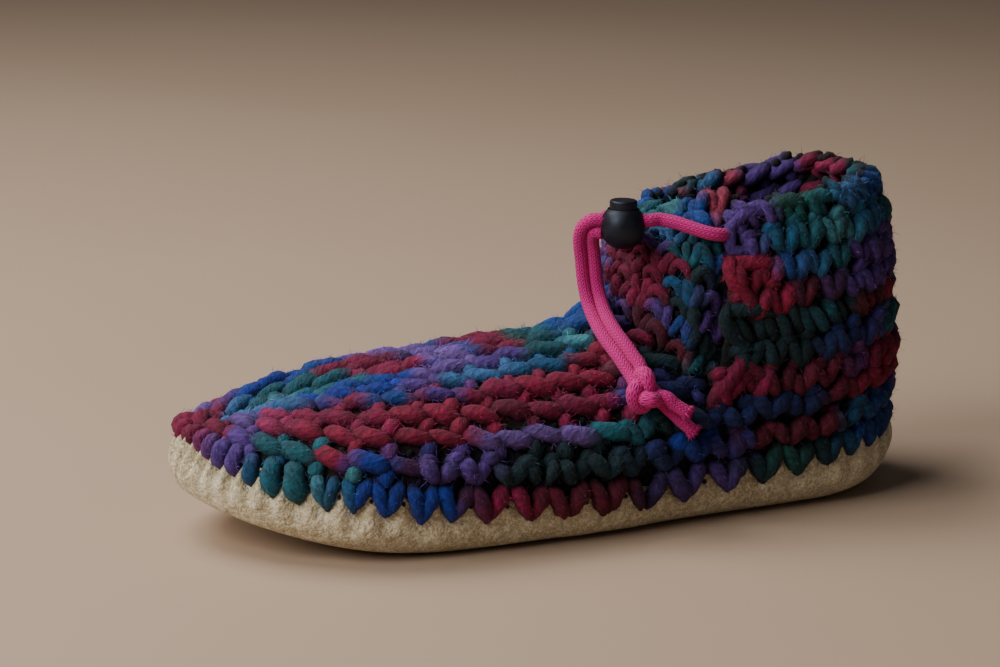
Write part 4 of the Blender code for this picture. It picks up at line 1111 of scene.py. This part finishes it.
class Yarn:
    # Gathers the strands of one zone, then makes them one mesh.
    def __init__(self, zone, inside=False):
        self.zone, self.sheet, self.inside, self.strands = zone, sheets[zone], inside, []

    def cells(self, low, high, row, shift=0.0, pitch=None):
        # Splits a row between two columns into stitches of an even length: their first and last columns.
        column = np.linspace(low, high, stitch["samples"])
        run = lengths(self.sheet.at(column, 0 * column + 2 * row + 1))
        number = max(round(run[-1] / (pitch or stitch["pitch"])), 1)
        cuts = np.interp((np.arange(number + 1) + shift) * run[-1] / number, run, column)
        return cuts[:-1], cuts[1:]

    def add(self, shape, first, last, row, loose=1.0, dyeRow=None, dyeShift=0.0, thick=1.0, tall=1.0):
        # Each strand follows a cubic through the shape's points, moved a little at random: along, up, in
        # thickness, outwards, and by two leans. Its dye is darkened deep in the wall with painted shade.
        shape, number = np.array(shape), len(first)
        t = np.linspace(0, len(shape) - 1.001, stitch["rings"])
        i = t.astype(int)
        padded = np.vstack([2 * shape[0] - shape[1], shape, 2 * shape[-1] - shape[-2]])
        u, v, out, radius = sum(w[:, None] * padded[i + k] for k, w in enumerate(cubicWeights(t - i))).T
        shake = rng.normal(0, 1, (7, number, 1)) * loose
        aside, up, fat, outwards, leanAside, leanUp = (a * s for a, s in zip(stitch["shake"], shake))
        column = first[:, None] + (last - first)[:, None] * (u + aside + leanAside * (v - 0.5))
        height = 2 * (row + tall * (v + up + leanUp * (u - 0.5)))
        middle = 2 * row + 1 + 0 * first
        across = np.linalg.norm(self.sheet.at(last, middle) - self.sheet.at(first, middle), axis=1)
        size = np.clip(across / stitch["pitch"], 0.45, 1.12)[:, None] ** 0.6 * (1 + fat) * thick
        size = size * (1 + stitch["wave"] * np.sin(t * 2.6 + shake[6] * 3))
        # painted shade: the colour darkens where the strand sinks into the wall
        shade = 0.05 + 0.95 * ramp(out - out.max(), -2.6, -0.1)
        out = (out + outwards) * mm
        outward = self.sheet.outward(column, height)
        if self.inside:
            wall = shoe["tongueWall"] if self.zone == "tongue" else shoe["wall"]
            out, outward, size = -wall - out - stitch["insideGap"], -outward, size * stitch["inner"]
        wander = column + dyeShift + rng.normal(0, stitch["wander"], (number, 1))
        shadedDye = dyeOf(self.zone, row if dyeRow is None else dyeRow, wander) * shade[:, None]
        shadedDye = shadedDye * np.exp(rng.normal(0, stitch["uneven"], (number, 1, 1)))
        self.strands.append((self.sheet.at(column, height, out), outward, radius * size * mm, shadedDye))

    def build(self, name, sides=stitch["sides"]):
        # The dye is darkened with painted shade where a strand turns away from the outside, and halved at both
        # its end points.
        self.paths, outward, self.radii, self.shadedDyes = (np.concatenate(part) for part in zip(*self.strands))
        points, quads, triangles, uv, self.circle = tubes(
            self.paths, outward, self.radii, sides, stitch["twist"], stitch["lobes"])
        away = self.circle.reshape(-1, 3)
        skin = points[: len(away)]
        skin += away * stitch["lumpy"] * lumps(skin, stitch["lumpSize"], 11)[:, None]
        # painted shade on the strands' undersides and at their two end points
        lit = 0.34 + 0.66 * ramp((self.circle * outward[:, :, None]).sum(-1, keepdims=True), -0.6, 0.6)
        ends = [(self.shadedDyes[:, :, None] * lit).reshape(-1, 3), self.shadedDyes[:, 0] * 0.5, self.shadedDyes[:, -1] * 0.5]
        mesh = newMesh(name, points, quads, triangles, {"run": uv}, np.concatenate(ends))
        addPiece(mesh, wool, "wool", nodeOf(self.zone))


def woolMaterial():
    # Soft spun wool: the dye of each stitch with its painted shade, heathered along the strand, with fine fibres
    # across its plies.
    material, wire, shader = newMaterial("spun_wool", Roughness=0.78, Sheen_Weight=0.04, Sheen_Roughness=0.6,
                                         Specular_IOR_Level=0.28)
    shadedDye, run, place = wire.attribute("shadedDye"), wire.uv("run"), wire.place()
    u = run.part(0)
    twist = run.part(1) + u * 0.06
    streak = run.node("ShaderNodeCombineXYZ", None, {0: u * 0.16, 1: twist * 5.0}).noise(1.7, 3.0, 0.6)
    fibre = run.node("ShaderNodeCombineXYZ", None, {0: u * 0.5, 1: twist * 24.0}).noise(1.5, 3.0, 0.65)
    fuzz = place.noise(1500.0, 3.0, 0.7)
    tone = (streak * 0.6 + place.noise(230.0, 2.0) * 0.2 + fibre * 0.3).step(0.38, 0.70)
    light = (fibre * 0.6 + fuzz * 0.5).step(0.60, 0.80)
    colour = tone.mix(shadedDye.times(0.46, 0.46, 0.50), shadedDye.times(1.28))
    colour = (light * 0.35).mix(colour, shadedDye.times(1.7).plus((0.012, 0.012, 0.014)))
    under = bumped(streak + place.noise(480.0, 2.0), 0.7, 1.2 * mm)
    feed(shader, Base_Color=colour, Normal=bumped(fibre + fuzz * 0.8, 0.7, 0.5 * mm, under))
    return material


wool = woolMaterial()


def roundRows():
    # Row 0: a V of two legs over the suede's edge at each even column, one fat lobe near the toe.
    # Rows 1 and 2: slanted beads with a nub under each, then petals with a cap as they near the ankle.
    made = Yarn("round")
    first = np.arange(0, count, 2) - 1.0
    toe = np.minimum(first + 1, count - first - 1) < stitch["lobesTo"]
    for shape in pair("vOne"):
        made.add(shape, first[~toe], first[~toe] + 2, 0, 0.8)
    made.add(stitch["lobe"], first[toe], first[toe] + 2, 0, 1.0, thick=1.3)
    for row, steps, shift in stitch["petalsFrom"]:
        low, high = made.cells(0, count, row, shift)
        middle = (low + high) / 2
        late = (middle > steps) & (middle < count - steps)
        made.add(stitch["bead"], low[~late], high[~late], row)
        made.add(stitch["nub"], low[~late], high[~late], row, dyeRow=row - 1, dyeShift=-1.6)
        for shape in (*pair("petal"), stitch["cap"]):
            made.add(shape, low[late], high[late], row + 0.25, 1.7, dyeRow=row, tall=0.66)
    return made


def vampRows():
    # Rows of slanted beads over the foot, with a nub of the row below under each.
    made, reach = Yarn("vamp"), corner + 0.4
    for row in range(shoe["vampRows"]):
        low, high = made.cells(-reach, reach, row + 3, 0.0 if row % 2 else 0.4)
        low, high = low[high < reach + 0.5], high[high < reach + 0.5]
        made.add(stitch["bead"], low, high, row + 3, 1.25, dyeRow=row)
        made.add(stitch["nub"], low, high, row + 3, 1.25, dyeRow=max(row - 1, 0), dyeShift=-1.6)
    return made


def ankleRows():
    # Rows of petals under a cap, half a stitch apart from row to row, with two rows of slanted strands,
    # beads along the rim, and turning loops up each front edge.
    made = Yarn("ankle")
    slanted = (stitch["slantOne"], [(u + 0.5, *rest) for u, *rest in stitch["slantOne"]])
    for row in range(shoe["ankleRows"]):
        low, high = made.cells(corner - 0.1, count - corner + 0.1, row + 3, 0.5 * (row % 2), stitch["anklePitch"])
        for shape in slanted if row in stitch["slantedRows"] else (*pair("petal"), stitch["cap"]):
            made.add(shape, low, high, row + 3, 1.7, dyeRow=row, tall=0.88 if row == 6 else 1)
    low, high = made.cells(corner, count - corner, 9, 0.3)
    made.add(stitch["rimBead"], low, high, 10, 1.2, dyeRow=6)
    for row, dyeRow, shapes in stitch["edges"]:
        for near, far in ((corner - 0.2, corner + 3.0), (count - corner + 0.2, count - corner - 3.0)):
            near, far = np.array([near]), np.array([far])
            for shape in shapes:
                made.add(stitch[shape], near, far, row, 0.6, dyeRow=dyeRow, thick=0.92, tall=1.5)
    return made


def tongueRows():
    # Rows across the tongue, of arches and of paired legs, as chance has it.
    made = Yarn("tongue")
    for row in range(stitch["tongueRows"]):
        low, high = made.cells(0.2, 15.8, row / 2, 0.0, stitch["tonguePitch"])
        cut = (high - low) * 0.5 * (row % 2)
        low, high = low - cut, high - cut
        arched = rng.random(len(low)) < 0.5
        made.add(stitch["arch"], low[arched], high[arched], row / 2, 1.6, dyeRow=row, tall=0.52)
        for shape in pair("legOne"):
            made.add(shape, low[~arched], high[~arched], row / 2, 1.6, dyeRow=row, tall=0.55)
    return made


def addInside(zone, rows, low, high, tall):
    # The wall's inner face, in paired legs, with beads near the rim and along it.
    made = Yarn(zone, inside=True)
    for row, dyeRow in rows:
        first, last = made.cells(low, high, row, 0.5 * (row % 2), stitch["insidePitch"])
        rim = zone == "ankle" and dyeRow > 4
        for shape in (stitch["bead"], stitch["nub"]) if rim else pair("legOne"):
            made.add(shape, first, last, row, dyeRow=dyeRow, tall=tall, thick=1.15 if rim else 1)
    if zone == "ankle":
        made.add(stitch["rimBead"], first, last, 10, dyeRow=6, thick=1.2)
    made.build(f"{zone}_inside", stitch["insideSides"])


outside = {
    "upper_rounds": roundRows(), "upper_vamp": vampRows(),
    "upper_ankle": ankleRows(), "tongue_stitches": tongueRows(),
}
for name, made in outside.items():
    made.build(name)
addInside("round", ((1, 1), (2, 2)), 0, count, 1)
addInside("vamp", [(row + 3, row) for row in range(shoe["vampRows"])], -corner, corner, 1)
addInside("ankle", [(row + 3, row) for row in range(shoe["ankleRows"])], corner, count - corner, 1)
addInside("tongue", [(row / 2, row) for row in range(8)], 0.5, 15.5, 0.5)
print("stitches")

# the fabric behind the stitches

backing = {
    "depths": (3.3 * mm, 3.8 * mm), "shade": 0.05,
    # each zone's first and last column, first and last half row, and how many rows of points
    "zones": {
        "round": (0, count, 1.1, 6.4, 14), "vamp": (-corner, corner, 5.8, 16, 22),
        "ankle": (corner, count - corner, 5.8, 19.6, 28), "tongue": (-1, 17, -0.9, 8.7, 29),
    },
}


def addWall(zone, low, high, foot, top, number):
    # The form's surface at two depths, closed round its edge, in its stitches' dyes made near-black as painted
    # shade behind them.
    sheet = sheets[zone]
    columns, rows = np.arange(2 * low, 2 * high + 1) / 2, np.linspace(foot, top, number)
    c, r = np.meshgrid(columns, rows)
    number = np.arange(c.size).reshape(c.shape)
    quads = np.stack([number[:-1, :-1], number[:-1, 1:], number[1:, 1:], number[1:, :-1]], -1).reshape(-1, 4)
    border = np.concatenate([number[0], number[1:, -1], number[-1, -2::-1], number[-2:0:-1, 0]])
    after = np.roll(border, -1)
    edge = np.stack([border, border + c.size, after + c.size, after], -1)
    quads = np.concatenate([quads, quads[:, ::-1] + c.size, edge])
    quads = quads[:, ::-1] if sheet.flip else quads
    dyeRows = {"round": rows / 2, "tongue": rows}.get(zone, rows / 2 - shoe["rounds"])
    shade = np.stack([dyeOf(zone, row, columns) for row in dyeRows])
    # painted shade: the backing is a twentieth of its stitches' dyes
    mesh = newMesh(f"{zone}_wall", np.stack([sheet.at(c, r, -depth) for depth in backing["depths"]]), quads, (),
                   {"run": np.zeros((quads.size, 2))}, np.stack([shade, shade]) * backing["shade"])
    addPiece(mesh, wool, "wool", nodeOf(zone))


for zone, reach in backing["zones"].items():
    addWall(zone, *reach)
print("walls")

# loose fibres

fibres = {
    "share": {"upper_rounds": 1.25, "upper_vamp": 2.3, "upper_ankle": 1.15, "tongue_stitches": 1.3},
    "perStrand": 30, "length": (1.4 * mm, 4.2 * mm), "radius": 0.075 * mm, "curl": 0.6, "standOff": (0.15, 0.8),
}


def fibreMaterial():
    # The strand's dye with its painted shade, paler in patches.
    material, wire, shader = newMaterial("wool_fibre", Roughness=0.95, Specular_IOR_Level=0.2)
    shadedDye, tone = wire.attribute("shadedDye"), wire.place().noise(300.0, 2.0).step(0.3, 0.7)
    feed(shader, Base_Color=tone.mix(shadedDye.times(1.6), shadedDye.times(2.2).plus((0.07, 0.07, 0.082))))
    return material


def addFibres(name, made, material):
    # Spikes that leave the strands at a low angle, from places chosen at random on their rings.
    number = int(len(made.shadedDyes) * fibres["perStrand"] * fibres["share"][name])
    strand = rng.integers(0, len(made.shadedDyes), number)
    ring = rng.integers(1, stitch["rings"] - 1, number)
    side = rng.integers(0, stitch["sides"], number)
    outer = made.circle[strand, ring, side]
    start = made.paths[strand, ring] + outer * made.radii[strand, ring][:, None] * 0.9
    line = unit(made.paths[strand, ring + 1] - made.paths[strand, ring])
    length = rng.uniform(*fibres["length"], number)[:, None]
    lean = unit(line * rng.normal(0, 1, (number, 1)) + outer * rng.uniform(*fibres["standOff"], (number, 1))
                + rng.normal(0, 0.35, (number, 3)))
    points, triangles = spikes(start, lean, length, fibres["radius"], fibres["curl"])
    shade = np.repeat(made.shadedDyes[strand, ring] * np.exp(rng.normal(0.2, 0.25, (number, 1))), 7, axis=0)
    addPiece(newMesh(f"{name}_fuzz", points, (), triangles, None, shade), material, "wool", nodeOf(made.zone))


fuzzy = fibreMaterial()
for name, made in outside.items():
    addFibres(name, made, fuzzy)
print("fibres")

# floor


def addFloor():
    # A large plain square, a little cloudy.
    side = studio["floorSide"]
    corners = [(-side, -side, 0), (side, -side, 0), (side, side, 0), (-side, side, 0)]
    mesh = newMesh("floor", corners, [(0, 1, 2, 3)])
    material, wire, shader = newMaterial("plain_floor", Roughness=0.8)
    patch = wire.place().noise(3.0, 2.0) * studio["patchShare"]
    feed(shader, Base_Color=patch.mix(studio["floor"], studio["floorPatch"]))
    mesh.materials.append(material)
    addItem("floor", mesh)


addFloor()
